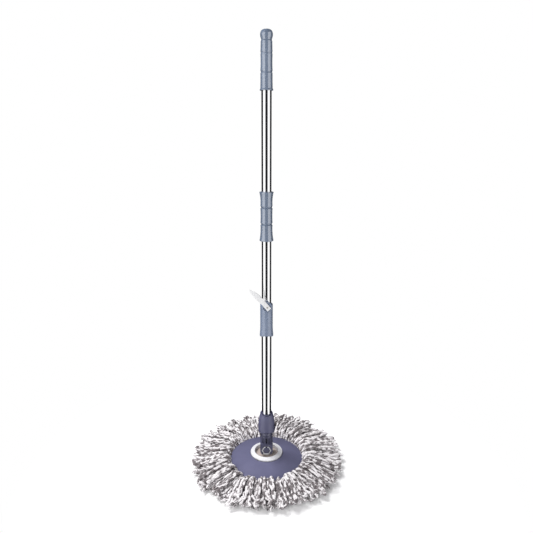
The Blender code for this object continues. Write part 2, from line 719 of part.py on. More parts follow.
def twisted_strip(name, width, thickness, bottom, top, finish=None, rows_per_turn=32):
    """A flat strip that follows the bar's twist, as a loft of turned rectangles."""
    knots = {bottom, top}
    if bottom < BAR_Z + BAR_ROOT < top:
        knots.add(BAR_Z + BAR_ROOT)
    pitch = BAR_LEAD / rows_per_turn
    first = math.ceil((bottom - BAR_Z - BAR_ROOT) / pitch + 1e-6)
    last = math.floor((top - BAR_Z - BAR_ROOT) / pitch - 1e-6)
    knots |= {BAR_Z + BAR_ROOT + k * pitch for k in range(max(first, 1), last + 1)}
    bm = bmesh.new()
    rows = []
    for height in sorted(knots):
        turn = Matrix.Rotation(twist_at(height), 4, "Z")
        corners = ((-1, -1), (1, -1), (1, 1), (-1, 1))
        rows.append(
            [bm.verts.new(turn @ Vector((x * width / 2, y * thickness / 2, height))) for x, y in corners]
        )
    for low, high in zip(rows, rows[1:]):
        for k in range(4):
            bm.faces.new((low[k], low[(k + 1) % 4], high[(k + 1) % 4], high[k]))
    bm.faces.new(list(reversed(rows[0])))
    bm.faces.new(rows[-1])
    bmesh.ops.triangulate(bm, faces=bm.faces)
    return mesh_object(name, bm, finish)


def drive_bar(finish):
    return twisted_strip("drive_bar", BAR_WIDTH, BAR_T, BAR_Z, BAR_Z + BAR_LENGTH, finish)


def clutch_hub(finish):
    """Inner part of the clutch, with a slot that holds the bar's root."""
    made = rod("clutch_hub", CLUTCH_BORE_R - GAP, CLUTCH_FLOOR_Z + GAP, CLUTCH_HUB_TOP_Z, finish)
    half_x, half_y = BAR_WIDTH / 2 + GAP, BAR_T / 2 + GAP
    slot = block("slot", (-half_x, half_x), (-half_y, half_y), (BAR_Z - GAP, CLUTCH_HUB_TOP_Z + 0.001))
    return combine(made, slot)


def bar_guide(finish):
    """Disc on the bar's top end that centres it in the upper tube."""
    top = BAR_Z + BAR_LENGTH + 0.0020
    made = rod("bar_guide", UPPER_INSIDE_R, top - GUIDE_LENGTH, top, finish)
    room = 2 * GAP + 0.0002
    bottom = top - GUIDE_LENGTH - 0.0010
    seat = twisted_strip("seat", BAR_WIDTH + room, BAR_T + room, bottom, BAR_Z + BAR_LENGTH + GAP)
    return combine(made, seat)


def drive_nut(finish):
    """Plug in the foot of the upper tube, with a slot that follows the bar's twist."""
    bottom = MIDDLE_TUBE_Z - GAP - NUT_FLANGE_T
    outline = [
        (0.0, bottom),
        (UPPER_TUBE_R, bottom),
        (UPPER_TUBE_R, bottom + NUT_FLANGE_T),
        (UPPER_INSIDE_R, bottom + NUT_FLANGE_T),
        (UPPER_INSIDE_R, bottom + NUT_LENGTH + NUT_FLANGE_T),
        (0.0, bottom + NUT_LENGTH + NUT_FLANGE_T),
    ]
    made = turned("drive_nut", outline, finish)
    top = bottom + NUT_LENGTH + NUT_FLANGE_T
    slot = twisted_strip("slot", BAR_WIDTH + NUT_ROOM, BAR_T + NUT_ROOM, bottom - 0.0010, top + 0.0010)
    return combine(made, slot)


# ---------------------------------------------------------------- upper pole


def middle_tube(finish):
    return tube("middle_tube", UPPER_TUBE_R, UPPER_BORE_R, MIDDLE_TUBE_Z, JOINT_Z, finish)


def top_tube(finish):
    return tube("top_tube", UPPER_TUBE_R, UPPER_BORE_R, TOP_TUBE_Z, TOP_TUBE_TOP_Z, finish)


def coupling_socket(finish):
    """Insert in the middle tube's top end, bored for the stud's thread."""
    bore = THREAD_R + GAP
    outline = [
        (bore, JOINT_Z - COUPLING_LENGTH),
        (UPPER_INSIDE_R, JOINT_Z - COUPLING_LENGTH),
        (UPPER_INSIDE_R, JOINT_Z + GAP),
        (UPPER_TUBE_R, JOINT_Z + GAP),
        (UPPER_TUBE_R, JOINT_FACE_Z),
        (bore, JOINT_FACE_Z),
    ]
    return turned("coupling_socket", outline, finish)


def coupling_stud(finish):
    """Insert in the top tube's foot, with a threaded stud that screws down into the socket."""
    low = JOINT_FACE_Z + GAP
    foot = TOP_TUBE_Z - GAP
    root_r = THREAD_R - THREAD_DEPTH / 2
    end = JOINT_Z - COUPLING_LENGTH + 0.0021
    thread = []
    for k in range(1, 12, 2):
        thread += [(root_r, end + k * THREAD_DEPTH), (THREAD_R, end + (k + 1) * THREAD_DEPTH)]
    outline = [
        (0.0, end),
        (THREAD_R - 0.0012, end),
        *thread,
        (root_r, low),
        (UPPER_TUBE_R, low),
        (UPPER_TUBE_R, foot),
        (UPPER_INSIDE_R, foot),
        (UPPER_INSIDE_R, foot + COUPLING_LENGTH),
        (0.0, foot + COUPLING_LENGTH),
    ]
    return turned("coupling_stud", outline, finish)


def grip_outline(bottom, segments, groove_r, foot, head):
    """Outline of a ringed grip: waisted segments between narrow grooves.

    segments holds (length, waist radius, end radius) from the foot up. foot and head are the ends' own points."""
    points = [(GRIP_BORE_R, bottom), *foot]
    height = bottom
    for number, (length, waist, swell) in enumerate(segments):
        last = number == len(segments) - 1
        start = 0.0010 if number else 0.0060
        stop = length - (0.0060 if last else 0.0010)
        for share, radius in ((0.0, swell), (0.28, waist), (0.72, waist), (1.0, swell)):
            points.append((radius, height + start + (stop - start) * share))
        height += length
        if not last:
            points.append((groove_r, height))
    return points + head


def middle_grip(finish):
    """Ringed grip over the joint of the upper tubes, flared at both ends."""
    flare, top = MIDDLE_GRIP_FLARE_R, MIDDLE_GRIP_TOP_Z
    foot = [(flare - 0.0004, MIDDLE_GRIP_Z), (flare, MIDDLE_GRIP_Z + 0.0006), (flare - 0.0004, MIDDLE_GRIP_Z + 0.0024)]
    head = [(flare - 0.0004, top - 0.0024), (flare, top - 0.0006), (flare - 0.0004, top), (GRIP_BORE_R, top)]
    segments = [
        (MIDDLE_GRIP_LENGTH * share, MIDDLE_GRIP_R, MIDDLE_GRIP_R + 0.0004) for share in (0.347, 0.338, 0.315)
    ]
    outline = grip_outline(MIDDLE_GRIP_Z, segments, MIDDLE_GRIP_GROOVE_R, foot, head)
    return turned("middle_grip", outline, finish)


def top_grip(finish):
    """Ringed grip with a domed knob, closed over the end plug."""
    flare, top = TOP_GRIP_FLARE_R, TOP_GRIP_TOP_Z
    body = TOP_GRIP_LENGTH - TOP_KNOB_LENGTH
    ceiling = PLUG_TOP_Z + GAP
    dome_z = top - TOP_KNOB_DOME
    foot = [(flare - 0.0004, TOP_GRIP_Z), (flare, TOP_GRIP_Z + 0.0006), (flare - 0.0006, TOP_GRIP_Z + 0.0022)]
    dome = [
        (TOP_KNOB_R * math.cos(math.radians(a)), dome_z + TOP_KNOB_DOME * math.sin(math.radians(a)))
        for a in (0, 18, 36, 54, 72)
    ]
    head = [
        (TOP_GRIP_R, ceiling + 0.0008),
        (TOP_KNOB_NECK_R, ceiling + 0.0026),
        (TOP_KNOB_R - 0.0006, dome_z - 0.0034),
        *dome,
        (0.0, top),
        (0.0, ceiling),
        (GRIP_BORE_R, ceiling),
    ]
    segments = [(body * share, TOP_GRIP_R, TOP_GRIP_R + 0.0004) for share in (0.378, 0.388, 0.234)]
    outline = grip_outline(TOP_GRIP_Z, segments, TOP_GRIP_GROOVE_R, foot, head)
    return turned("top_grip", outline, finish)


def end_plug(finish):
    """Plug in the top tube's end, under the grip."""
    low = TOP_TUBE_TOP_Z + GAP
    outline = [
        (0.0, low - PLUG_LENGTH),
        (UPPER_INSIDE_R, low - PLUG_LENGTH),
        (UPPER_INSIDE_R, low),
        (UPPER_TUBE_R, low),
        (UPPER_TUBE_R, PLUG_TOP_Z),
        (0.0, PLUG_TOP_Z),
    ]
    return turned("end_plug", outline, finish)


def build():
    clear_scene()
    blue = material("blue_plastic", BLUE, 0.42)
    disc_blue = material("disc_plastic", DISC_BLUE, 0.40)
    yoke_blue = material("yoke_plastic", YOKE_BLUE, 0.45)
    white = material("white_plastic", (0.80, 0.80, 0.82), 0.35)
    beige = material("beige_plastic", (0.56, 0.48, 0.45), 0.50)
    chrome = material("chromed_tube", (0.80, 0.80, 0.80), 0.08, 1.0)
    steel = material("plain_steel", (0.45, 0.45, 0.46), 0.35, 1.0)
    yarn = material("yarn", (0.66, 0.64, 0.64), 0.95)

    head = empty("mop_head_frame", (0, 0, 0))
    for piece in (
        yarn_ring(yarn),
        refill_plate(white),
        mop_disc(disc_blue),
        bearing_ring(steel),
        base_cap(disc_blue),
    ):
        place(piece, (0, 0, 0), head)

    hub = empty("head_spin_axis", (0, 0, DRUM_Z), head)
    for piece in (
        turntable(white),
        turntable_washer(beige),
        retainer(white),
        knuckle_axle(steel),
        axle_cap("axle_cap_front", -1, yoke_blue),
        axle_cap("axle_cap_rear", 1, yoke_blue),
    ):
        place(piece, (0, 0, 0), hub)
    for number, (x, y) in enumerate(retainer_screw_places(), 1):
        place(retainer_screw(number, steel), (x, y, 0), hub)

    lower = empty("head_tilt_axis", (0, 0, PIVOT_Z), hub)
    for piece in (
        yoke(yoke_blue),
        collar(disc_blue),
        collar_screw(steel),
        lower_tube(chrome),
        clutch_housing(white),
        lock_sleeve(blue),
        guide_bush(white),
        lever_pin(steel),
    ):
        place(piece, (0, 0, 0), lower)

    drive = empty("bar_spin_axis", (0, 0, CLUTCH_Z), lower)
    for piece in (drive_bar(steel), clutch_hub(steel), bar_guide(white)):
        place(piece, (0, 0, 0), drive)

    upper = empty("handle_press_axis", (0, 0, MIDDLE_TUBE_Z), lower)
    for piece in (
        drive_nut(white),
        middle_tube(chrome),
        coupling_socket(white),
        coupling_stud(white),
        middle_grip(blue),
        top_tube(chrome),
        end_plug(white),
        top_grip(blue),
    ):
        place(piece, (0, 0, 0), upper)

    lever = empty("lock_lever_axis", (LEVER_OFFSET_X, LEVER_BACK_Y, LEVER_Z), lower)
    place(lock_lever(white), (0, 0, 0), lever)
    plunger = empty("lock_pin_axis", (LEVER_OFFSET_X, BOSS_FRONT_Y, LEVER_Z - LOCK_PIN_DROP), lower)
    place(lock_pin(steel), (0, 0, 0), plunger)


build()
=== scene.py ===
"""Looks for the spin mop: plastics, chromed tubes, lever and yarn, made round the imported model."""

import json
import math

import bmesh
import bpy
from mathutils import Matrix, Vector


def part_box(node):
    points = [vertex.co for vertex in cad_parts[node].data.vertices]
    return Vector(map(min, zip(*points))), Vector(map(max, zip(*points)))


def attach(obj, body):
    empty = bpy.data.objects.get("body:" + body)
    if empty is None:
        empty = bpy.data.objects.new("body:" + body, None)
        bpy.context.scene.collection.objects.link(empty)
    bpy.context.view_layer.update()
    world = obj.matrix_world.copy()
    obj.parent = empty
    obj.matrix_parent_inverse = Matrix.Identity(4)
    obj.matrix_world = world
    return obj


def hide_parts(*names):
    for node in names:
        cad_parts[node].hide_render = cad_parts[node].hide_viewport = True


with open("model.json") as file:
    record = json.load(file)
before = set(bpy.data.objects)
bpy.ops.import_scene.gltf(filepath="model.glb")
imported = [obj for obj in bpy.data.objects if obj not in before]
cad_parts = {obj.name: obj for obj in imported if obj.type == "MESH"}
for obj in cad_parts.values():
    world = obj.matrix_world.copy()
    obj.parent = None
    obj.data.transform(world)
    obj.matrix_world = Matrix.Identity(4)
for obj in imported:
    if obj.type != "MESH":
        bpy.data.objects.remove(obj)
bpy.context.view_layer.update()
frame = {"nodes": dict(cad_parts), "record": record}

SIDES = 96  # round pieces seen close
GAP = 0.0003

# Sizes shared by several pieces
TUBE_WALL = 0.0004
UPPER_TUBE_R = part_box("middle_tube")[1].x
LOWER_TUBE_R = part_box("lower_tube")[1].x
PIVOT_Z = (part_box("knuckle_axle")[0].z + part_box("knuckle_axle")[1].z) / 2
DISC_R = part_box("mop_disc")[1].x
DISC_TOP_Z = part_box("mop_disc")[1].z
FLANGE_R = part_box("turntable")[1].x
LEDGE_Z = DISC_TOP_Z + GAP + 0.0030
SOCKET_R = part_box("base_cap")[1].x + GAP + 0.0021


# ---------------------------------------------------------------- node trees


class Field:
    """A socket in a node tree. Sums and products of fields add the nodes that work them out."""

    def __init__(self, tree, socket):
        self.tree = tree
        self.socket = socket

    def calc(self, operation, *others):
        made = self.tree.nodes.new("ShaderNodeMath")
        made.operation = operation
        for socket, value in zip(made.inputs, (self, *others)):
            join(self.tree, value, socket)
        return Field(self.tree, made.outputs[0])

    def __add__(self, other):
        return self.calc("ADD", other)

    def __sub__(self, other):
        return self.calc("SUBTRACT", other)

    def __mul__(self, other):
        return self.calc("MULTIPLY", other)

    def __truediv__(self, other):
        return self.calc("DIVIDE", other)

    def __rsub__(self, other):
        return self.calc("MULTIPLY", -1.0) + other

    __radd__ = __add__
    __rmul__ = __mul__


def join(tree, value, socket):
    """Puts a value on a socket, or links a field or another socket to it."""
    if isinstance(value, Field):
        value = value.socket
    if isinstance(value, bpy.types.NodeSocket):
        tree.links.new(value, socket)
    else:
        socket.default_value = value


def add(tree, kind, values=None, output=0, **settings):
    """Adds a node with its settings and inputs, and gives one of its outputs as a field."""
    made = tree.nodes.new(kind)
    for key, value in settings.items():
        setattr(made, key, value)
    for key, value in (values or {}).items():
        join(tree, value, made.inputs[key])
    return Field(tree, made.outputs[output])


def mixed(tree, share, first, second):
    """A colour between two, by share."""
    made = tree.nodes.new("ShaderNodeMix")
    made.data_type = "RGBA"
    join(tree, share, made.inputs["Factor"])
    for socket, value in (("A_Color", first), ("B_Color", second)):
        target = next(s for s in made.inputs if s.identifier == socket)
        join(tree, (*value, 1.0) if isinstance(value, tuple) else value, target)
    return Field(tree, next(s for s in made.outputs if s.identifier == "Result_Color"))


def spread(tree, value, low, high, out_low, out_high):
    keys = {"Value": value, "From Min": low, "From Max": high, "To Min": out_low, "To Max": out_high}
    return add(tree, "ShaderNodeMapRange", keys)


# ---------------------------------------------------------------- finishes


def finish_base(name, metallic=0.0):
    made = bpy.data.materials.new(name)
    made.use_nodes = True
    tree = made.node_tree
    shader = tree.nodes["Principled BSDF"]
    shader.inputs["Metallic"].default_value = metallic
    return made, tree, shader


def place_on(tree, stretch=(1, 1, 1)):
    """Object coordinates, stretched."""
    where = add(tree, "ShaderNodeTexCoord", output=3)
    return add(tree, "ShaderNodeMapping", {"Vector": where, "Scale": stretch})


def noise(tree, where, scale, detail=3.0, roughness=0.5):
    keys = {"Vector": where, "Scale": scale, "Detail": detail, "Roughness": roughness}
    return add(tree, "ShaderNodeTexNoise", keys)


def bumped(tree, shader, height, distance, strength=1.0):
    keys = {"Height": height, "Distance": distance, "Strength": strength}
    join(tree, add(tree, "ShaderNodeBump", keys), shader.inputs["Normal"])


def moulded_plastic(name, light, dark, gloss, grain=0.000006, coat=0.0, ior=1.5):
    """Moulded plastic: faint cloudy colour, fine grain where wanted, and gloss that varies with handling."""
    made, tree, shader = finish_base(name)
    cloud = noise(tree, place_on(tree), 45, 4)
    fleck = noise(tree, place_on(tree), 1400, 2)
    tint = mixed(tree, spread(tree, cloud, 0.32, 0.68, 0.0, 1.0), dark, light)
    tint = mixed(tree, spread(tree, fleck, 0.62, 0.80, 0.0, 0.12), tint, tuple(c * 0.72 for c in dark))
    join(tree, tint, shader.inputs["Base Color"])
    join(tree, spread(tree, cloud, 0.3, 0.7, gloss - 0.03, gloss + 0.04), shader.inputs["Roughness"])
    if grain:
        bumped(tree, shader, noise(tree, place_on(tree), 2600, 3, 0.6), grain)
    shader.inputs["IOR"].default_value = ior
    shader.inputs["Coat Weight"].default_value = coat
    shader.inputs["Coat IOR"].default_value = 2.4
    shader.inputs["Coat Roughness"].default_value = 0.20
    return made


def chromed_steel(name):
    """Bright chrome on drawn tube: nearly a mirror, with a few long smears."""
    made, tree, shader = finish_base(name, 1.0)
    smear = noise(tree, place_on(tree, (1, 1, 0.12)), 70, 3)
    tint = mixed(tree, spread(tree, smear, 0.40, 0.72, 0.0, 1.0), (0.95, 0.95, 0.95), (0.86, 0.86, 0.87))
    join(tree, tint, shader.inputs["Base Color"])
    join(tree, spread(tree, smear, 0.4, 0.75, 0.02, 0.06), shader.inputs["Roughness"])
    return made


def turned_steel(name):
    """Plain steel with fine tool marks round it and a grey tarnish."""
    made, tree, shader = finish_base(name, 1.0)
    marks = noise(tree, place_on(tree, (0.3, 0.3, 1)), 2200, 2)
    stain = noise(tree, place_on(tree), 140, 4)
    tint = mixed(tree, spread(tree, stain, 0.4, 0.7, 0.0, 1.0), (0.52, 0.52, 0.53), (0.30, 0.29, 0.28))
    join(tree, tint, shader.inputs["Base Color"])
    join(tree, spread(tree, stain, 0.3, 0.7, 0.26, 0.45), shader.inputs["Roughness"])
    bumped(tree, shader, marks, 0.000008)
    return made


def melange_yarn(name, white, grey, shade, share=0.5):
    """Twisted microfibre cord, white with grey-brown flecks that change along each cord."""
    made, tree, shader = finish_base(name)
    along = add(tree, "ShaderNodeAttribute", attribute_name="cord_length", output=2)
    tone = add(tree, "ShaderNodeAttribute", attribute_name="cord_tone", output=2)
    across = add(tree, "ShaderNodeAttribute", attribute_name="cord_round", output=1)
    parts = tree.nodes.new("ShaderNodeSeparateXYZ")
    join(tree, across, parts.inputs[0])
    side_x = Field(tree, parts.outputs[0])
    side_y = Field(tree, parts.outputs[1])
    keys = {"X": along * 88.0, "Y": tone * 61.0 + side_x * 0.35, "Z": side_y * 0.35}
    fleck = noise(tree, add(tree, "ShaderNodeCombineXYZ", keys), 1.0, 2, 0.55)
    clump = noise(tree, place_on(tree), 32, 2)
    limit = spread(tree, tone + clump * 1.6, 0.4, 2.0, share + 0.10, share - 0.10)
    grey_share = spread(tree, fleck - limit, -0.035, 0.035, 0.0, 1.0)
    deep = noise(tree, place_on(tree), 260, 2)
    dark = mixed(tree, spread(tree, deep, 0.35, 0.65, 0.0, 1.0), grey, shade)
    tint = mixed(tree, grey_share, white, dark)
    join(tree, tint, shader.inputs["Base Color"])
    turn = along * 1500.0
    strand = (side_x * turn.calc("COSINE") + side_y * turn.calc("SINE")) * 0.5
    fluff = noise(tree, place_on(tree), 1500, 3, 0.7)
    bumped(tree, shader, strand + fluff, 0.0007)
    shader.inputs["Roughness"].default_value = 0.95
    shader.inputs["Sheen Weight"].default_value = 0.15
    shader.inputs["Sheen Roughness"].default_value = 0.5
    shader.inputs["Specular IOR Level"].default_value = 0.2
    return made


GRIP_BLUE = moulded_plastic("grip_blue", (0.170, 0.215, 0.300), (0.155, 0.197, 0.275), 0.26, 0.0, 0.9, 1.7)
SLEEVE_BLUE = moulded_plastic(
    "sleeve_blue", (0.190, 0.235, 0.335), (0.172, 0.214, 0.305), 0.34, 0.0, 0.3, 1.6
)
DISC_BLUE = moulded_plastic("disc_blue", (0.130, 0.130, 0.216), (0.118, 0.118, 0.198), 0.36)
COLLAR_BLUE = moulded_plastic("collar_blue", (0.105, 0.105, 0.180), (0.095, 0.095, 0.164), 0.38)
JOINT_BLUE = moulded_plastic("joint_blue", (0.085, 0.085, 0.140), (0.062, 0.062, 0.108), 0.30, ior=1.7)
WHITE_PLASTIC = moulded_plastic("white_plastic", (0.72, 0.72, 0.74), (0.66, 0.66, 0.69), 0.34)
LEVER_WHITE = moulded_plastic("lever_white", (0.76, 0.76, 0.77), (0.70, 0.70, 0.71), 0.34)
BEIGE_PLASTIC = moulded_plastic("beige_plastic", (0.48, 0.41, 0.38), (0.41, 0.35, 0.32), 0.50)
PIN_GREY = moulded_plastic("pin_grey", (0.42, 0.40, 0.35), (0.36, 0.34, 0.30), 0.4)
CHROME = chromed_steel("chrome")
STEEL = turned_steel("plain_steel")
YARN_TOP = melange_yarn("yarn_top", (0.84, 0.81, 0.825), (0.25, 0.222, 0.23), (0.13, 0.112, 0.118), 0.525)
# Darker copy of the top yarn for the under layers: painted shade, standing in for the shadow beneath and
# between the top cords.
YARN_PAINTED_SHADE = melange_yarn("yarn_painted_shade", (0.62, 0.59, 0.60), (0.18, 0.16, 0.165), (0.08, 0.07, 0.075), 0.52)

SLOT_FINISH = {
    "blue_plastic": GRIP_BLUE,
    "disc_plastic": DISC_BLUE,
    "yoke_plastic": JOINT_BLUE,
    "white_plastic": WHITE_PLASTIC,
    "beige_plastic": BEIGE_PLASTIC,
    "chromed_tube": CHROME,
    "plain_steel": STEEL,
    # The CAD yarn node takes the darker yarn with painted shade.
    "yarn": YARN_PAINTED_SHADE,
}


def finish_cad_nodes():
    """Gives every CAD node the finish of its material slot."""
    for entry in frame["record"]["subparts"]:
        mesh = frame["nodes"][entry["node"]].data
        mesh.materials.clear()
        mesh.materials.append(SLOT_FINISH[entry["material_slot"]])


# ---------------------------------------------------------------- shapes


def mesh_piece(name, bm, finish, sharp=35):
    bmesh.ops.remove_doubles(bm, verts=bm.verts, dist=1e-6)
    bmesh.ops.recalc_face_normals(bm, faces=bm.faces)
    mesh = bpy.data.meshes.new(name)
    bm.to_mesh(mesh)
    bm.free()
    mesh.shade_smooth()
    mesh.set_sharp_from_angle(angle=math.radians(sharp))
    mesh.materials.append(finish)
    made = bpy.data.objects.new(name, mesh)
    bpy.context.scene.collection.objects.link(made)
    return made


def rounded(points, steps=4):
    """Rounds the corners of a closed outline: a third number in a point is its corner radius."""
    line = []
    for k, point in enumerate(points):
        corner = Vector(point[:2])
        size = point[2] if len(point) > 2 else 0.0
        if not size:
            line.append(tuple(corner))
            continue
        before = Vector(points[k - 1][:2]) - corner
        after = Vector(points[(k + 1) % len(points)][:2]) - corner
        reach = min(size, before.length * 0.49, after.length * 0.49)
        start = corner + before.normalized() * reach
        end = corner + after.normalized() * reach
        for i in range(steps + 1):
            t = i / steps
            line.append(tuple(start * (1 - t) ** 2 + corner * 2 * t * (1 - t) + end * t ** 2))
    return line


def curve_through(points, steps=6):
    """A smooth line through (radius, height) points."""
    knots = [Vector(p) for p in points]
    knots = [2 * knots[0] - knots[1], *knots, 2 * knots[-1] - knots[-2]]
    line = []
    for a, b, c, d in zip(knots, knots[1:], knots[2:], knots[3:]):
        for i in range(steps):
            t = i / steps
            line.append(
                tuple(
                    0.5 * (
                        2 * b + (c - a) * t
                        + (2 * a - 5 * b + 4 * c - d) * t * t
                        + (3 * b - a - 3 * c + d) * t ** 3
                    )
                )
            )
    return [*line, tuple(points[-1])]


def lathed(name, outline, finish, sides=SIDES, sharp=35, shape=None):
    """Turns a closed outline of (radius, height) about Z. shape moves each point of what isn't quite round."""
    bm = bmesh.new()
    rings = []
    for radius, height in outline:
        if radius < 1e-6:
            rings.append([bm.verts.new((0, 0, height))])
            continue
        ring = []
        for k in range(sides):
            angle = math.tau * k / sides
            r, z = shape(angle, radius, height) if shape else (radius, height)
            ring.append(bm.verts.new((r * math.cos(angle), r * math.sin(angle), z)))
        rings.append(ring)
    for low, high in zip(rings, rings[1:] + rings[:1]):
        if len(low) == len(high) == 1:
            continue
        for k in range(sides):
            n = (k + 1) % sides
            if len(low) == 1:
                bm.faces.new((low[0], high[n], high[k]))
            elif len(high) == 1:
                bm.faces.new((low[k], low[n], high[0]))
            else:
                bm.faces.new((low[k], low[n], high[n], high[k]))
    return mesh_piece(name, bm, finish, sharp)


def slab(name, outline, front, back, finish, bevel=0.0, steps=3, sharp=35):
    """A plate cut to an outline of (x, z) points, from y = front to y = back."""
    bm = bmesh.new()
    face = bm.faces.new([bm.verts.new((x, front, z)) for x, z in outline])
    new = bmesh.ops.extrude_face_region(bm, geom=[face])["geom"]
    bmesh.ops.translate(bm, verts=[v for v in new if isinstance(v, bmesh.types.BMVert)],
        vec=(0, back - front, 0))
    if bevel:
        rims = [e for e in bm.edges if abs(e.verts[0].co.y - e.verts[1].co.y) < 1e-7]
        bmesh.ops.bevel(bm, geom=rims, offset=bevel, segments=steps, profile=0.5, affect="EDGES")
    return mesh_piece(name, bm, finish, sharp)


def block(name, x, y, z, finish):
    return slab(name, [(x[0], z[0]), (x[1], z[0]), (x[1], z[1]), (x[0], z[1])], y[0], y[1], finish)


def pin(name, radius, front, back, x, z, finish, sides=32, crown=0.0):
    """A rod along Y, with a crowned front end."""
    outline = [(0, 0), (radius, 0), (radius, back - front - crown), (radius * 0.8, back - front),
        (0, back - front)]
    made = lathed(name, outline if crown else outline[:2] + [(radius, back - front), (0, back - front)],
        finish, sides)
    made.data.transform(Matrix.Translation((x, back, z)) @ Matrix.Rotation(math.pi / 2, 4, "X"))
    return made


def arc(radius, start, end, steps, x=0.0, z=0.0):
    return [
        (x + radius * math.cos(start + (end - start) * i / steps),
        z + radius * math.sin(start + (end - start) * i / steps))
        for i in range(steps + 1)
    ]


def cut(piece, other, operation="DIFFERENCE"):
    """Adds a Boolean, and hides its operand."""
    step = piece.modifiers.new(other.name, "BOOLEAN")
    step.operation = operation
    step.object = other
    step.solver = "EXACT"
    other.hide_render = True
    return piece


def settled(piece, bevel=0.0, sharp=32):
    """Turns a piece and its modifiers into one plain mesh."""
    if bevel:
        edge = piece.modifiers.new("edges", "BEVEL")
        edge.width = bevel
        edge.segments = 2
        edge.limit_method = "ANGLE"
        edge.angle_limit = math.radians(38)
        edge.harden_normals = False
    graph = bpy.context.evaluated_depsgraph_get()
    mesh = bpy.data.meshes.new_from_object(piece.evaluated_get(graph))
    helpers = [m.object for m in piece.modifiers if m.type == "BOOLEAN"]
    piece.modifiers.clear()
    finish = piece.data.materials[0]
    piece.data = mesh
    mesh.materials.clear()
    mesh.materials.append(finish)
    mesh.polygons.foreach_set("material_index", [0] * len(mesh.polygons))
    mesh.shade_smooth()
    mesh.set_sharp_from_angle(angle=math.radians(sharp))
    for helper in helpers:
        bpy.data.objects.remove(helper, do_unlink=True)
    return piece


def fit(piece, body, slot, *nodes):
    """Says which body a piece rides on, and hides the CAD nodes that it stands for. Its slot argument is not
    used.
    """
    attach(piece, body)
    if nodes:
        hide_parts(*nodes)
    return piece


# ---------------------------------------------------------------- tubes and grips


def tube_piece(name, radius):
    low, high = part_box(name)
    rim = 0.00015
    outline = rounded(
        [(radius - TUBE_WALL, low.z, rim), (radius, low.z, rim), (radius, high.z, rim),
        (radius - TUBE_WALL, high.z, rim)], 2
    )
    return lathed(f"{name}_chrome", outline, CHROME)


def closed_grip(bore, outside, top, ceiling):
    """Outline of a grip from its outer line: open at the foot, and closed on top if it has a ceiling."""
    foot = outside[0][1]
    if ceiling is None:
        return [(bore, foot), *outside, (bore, top)]
    return [(bore, foot), *outside, (0.0, ceiling), (bore, ceiling)]


def groove(height, depth_r, swell_r, half=0.0014, shoulder=0.0036):
    """Outer line across a groove between two segments of a grip."""
    return [
        (swell_r - 0.00010, height - shoulder - 0.0012),
        (swell_r, height - shoulder * 0.76),
        (swell_r - 0.00025, height - half - 0.0006),
        (depth_r + 0.00030, height - half * 0.45),
        (depth_r, height),
        (depth_r + 0.00030, height + half * 0.45),
        (swell_r - 0.00025, height + half + 0.0006),
        (swell_r, height + shoulder * 0.76),
        (swell_r - 0.00010, height + shoulder + 0.0012),
    ]


def grip_facets(angle, radius, height):
    """Very shallow flutes along a grip."""
    return radius + 0.00006 * math.cos(10 * angle), height


def top_grip():
    low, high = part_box("top_grip")
    z0, z1 = low.z, high.z
    bore = UPPER_TUBE_R + GAP
    line = [
        (0.01265, z0), (0.01300, z0 + 0.0006), (0.01290, z0 + 0.0016), (0.01215, z0 + 0.0028),
        (0.01175, z0 + 0.0050),
        (0.01160, z0 + 0.0110), (0.01148, z0 + 0.0180), (0.01146, z0 + 0.0250),
        *groove(z0 + 0.0331, 0.01060, 0.01152),
        (0.01118, z0 + 0.0420), (0.01104, z0 + 0.0500), (0.01112, z0 + 0.0580),
        *groove(z0 + 0.0670, 0.01060, 0.01134),
        (0.01108, z0 + 0.0745), (0.01100, z0 + 0.0790), (0.01092, z0 + 0.0830), (0.01084, z0 + 0.0860),
    ]
    knob = [
        (0.01066, z0 + 0.0876), (0.01000, z0 + 0.0892), (0.01000, z0 + 0.0904), (0.01060, z0 + 0.0922),
        (0.01138, z0 + 0.0946),
        (0.01184, z0 + 0.0970), (0.01190, z0 + 0.0992), (0.01162, z0 + 0.1016), (0.01085, z0 + 0.1040),
        (0.00930, z0 + 0.1061),
        (0.00680, z0 + 0.1076), (0.00350, z1 - 0.0002),
    ]
    outside = [*curve_through([*line, *knob], 4), (0.0, z1)]
    made = lathed("top_grip_shell", closed_grip(bore, outside, z1, z0 + 0.0871), GRIP_BLUE, sharp=60,
        shape=grip_facets)
    return fit(made, "upper_pole", "blue_plastic", "top_grip")


def middle_grip():
    low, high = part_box("middle_grip")
    z0, z1 = low.z, high.z
    bore = UPPER_TUBE_R + GAP
    line = [
        (0.01370, z0), (0.01418, z0 + 0.0006), (0.01412, z0 + 0.0018), (0.01362, z0 + 0.0044),
        (0.01300, z0 + 0.0085),
        (0.01245, z0 + 0.0140), (0.01212, z0 + 0.0200), (0.01198, z0 + 0.0250), (0.01202, z0 + 0.0290),
        *groove(z0 + 0.0346, 0.01068, 0.01222),
        (0.01196, z0 + 0.0430), (0.01180, z0 + 0.0515), (0.01196, z0 + 0.0600),
        *groove(z0 + 0.0688, 0.01068, 0.01222),
        (0.01198, z0 + 0.0770), (0.01202, z0 + 0.0825), (0.01235, z0 + 0.0880), (0.01298, z0 + 0.0930),
        (0.01362, z0 + 0.0965), (0.01412, z0 + 0.0984), (0.01420, z0 + 0.0992), (0.01390, z1),
    ]
    outside = [(0.0132, z0), *curve_through(line, 4), (0.0134, z1)]
    made = lathed("middle_grip_shell", closed_grip(bore, outside, z1, None), GRIP_BLUE, sharp=60,
        shape=grip_facets)
    return fit(made, "upper_pole", "blue_plastic", "middle_grip")


# ---------------------------------------------------------------- lock sleeve and lever


def lever_place():
    """The lever's pivot, with the y of its back face."""
    low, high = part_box("lever_pin")
    return (low.x + high.x) / 2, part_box("lock_lever")[1].y, (low.z + high.z) / 2


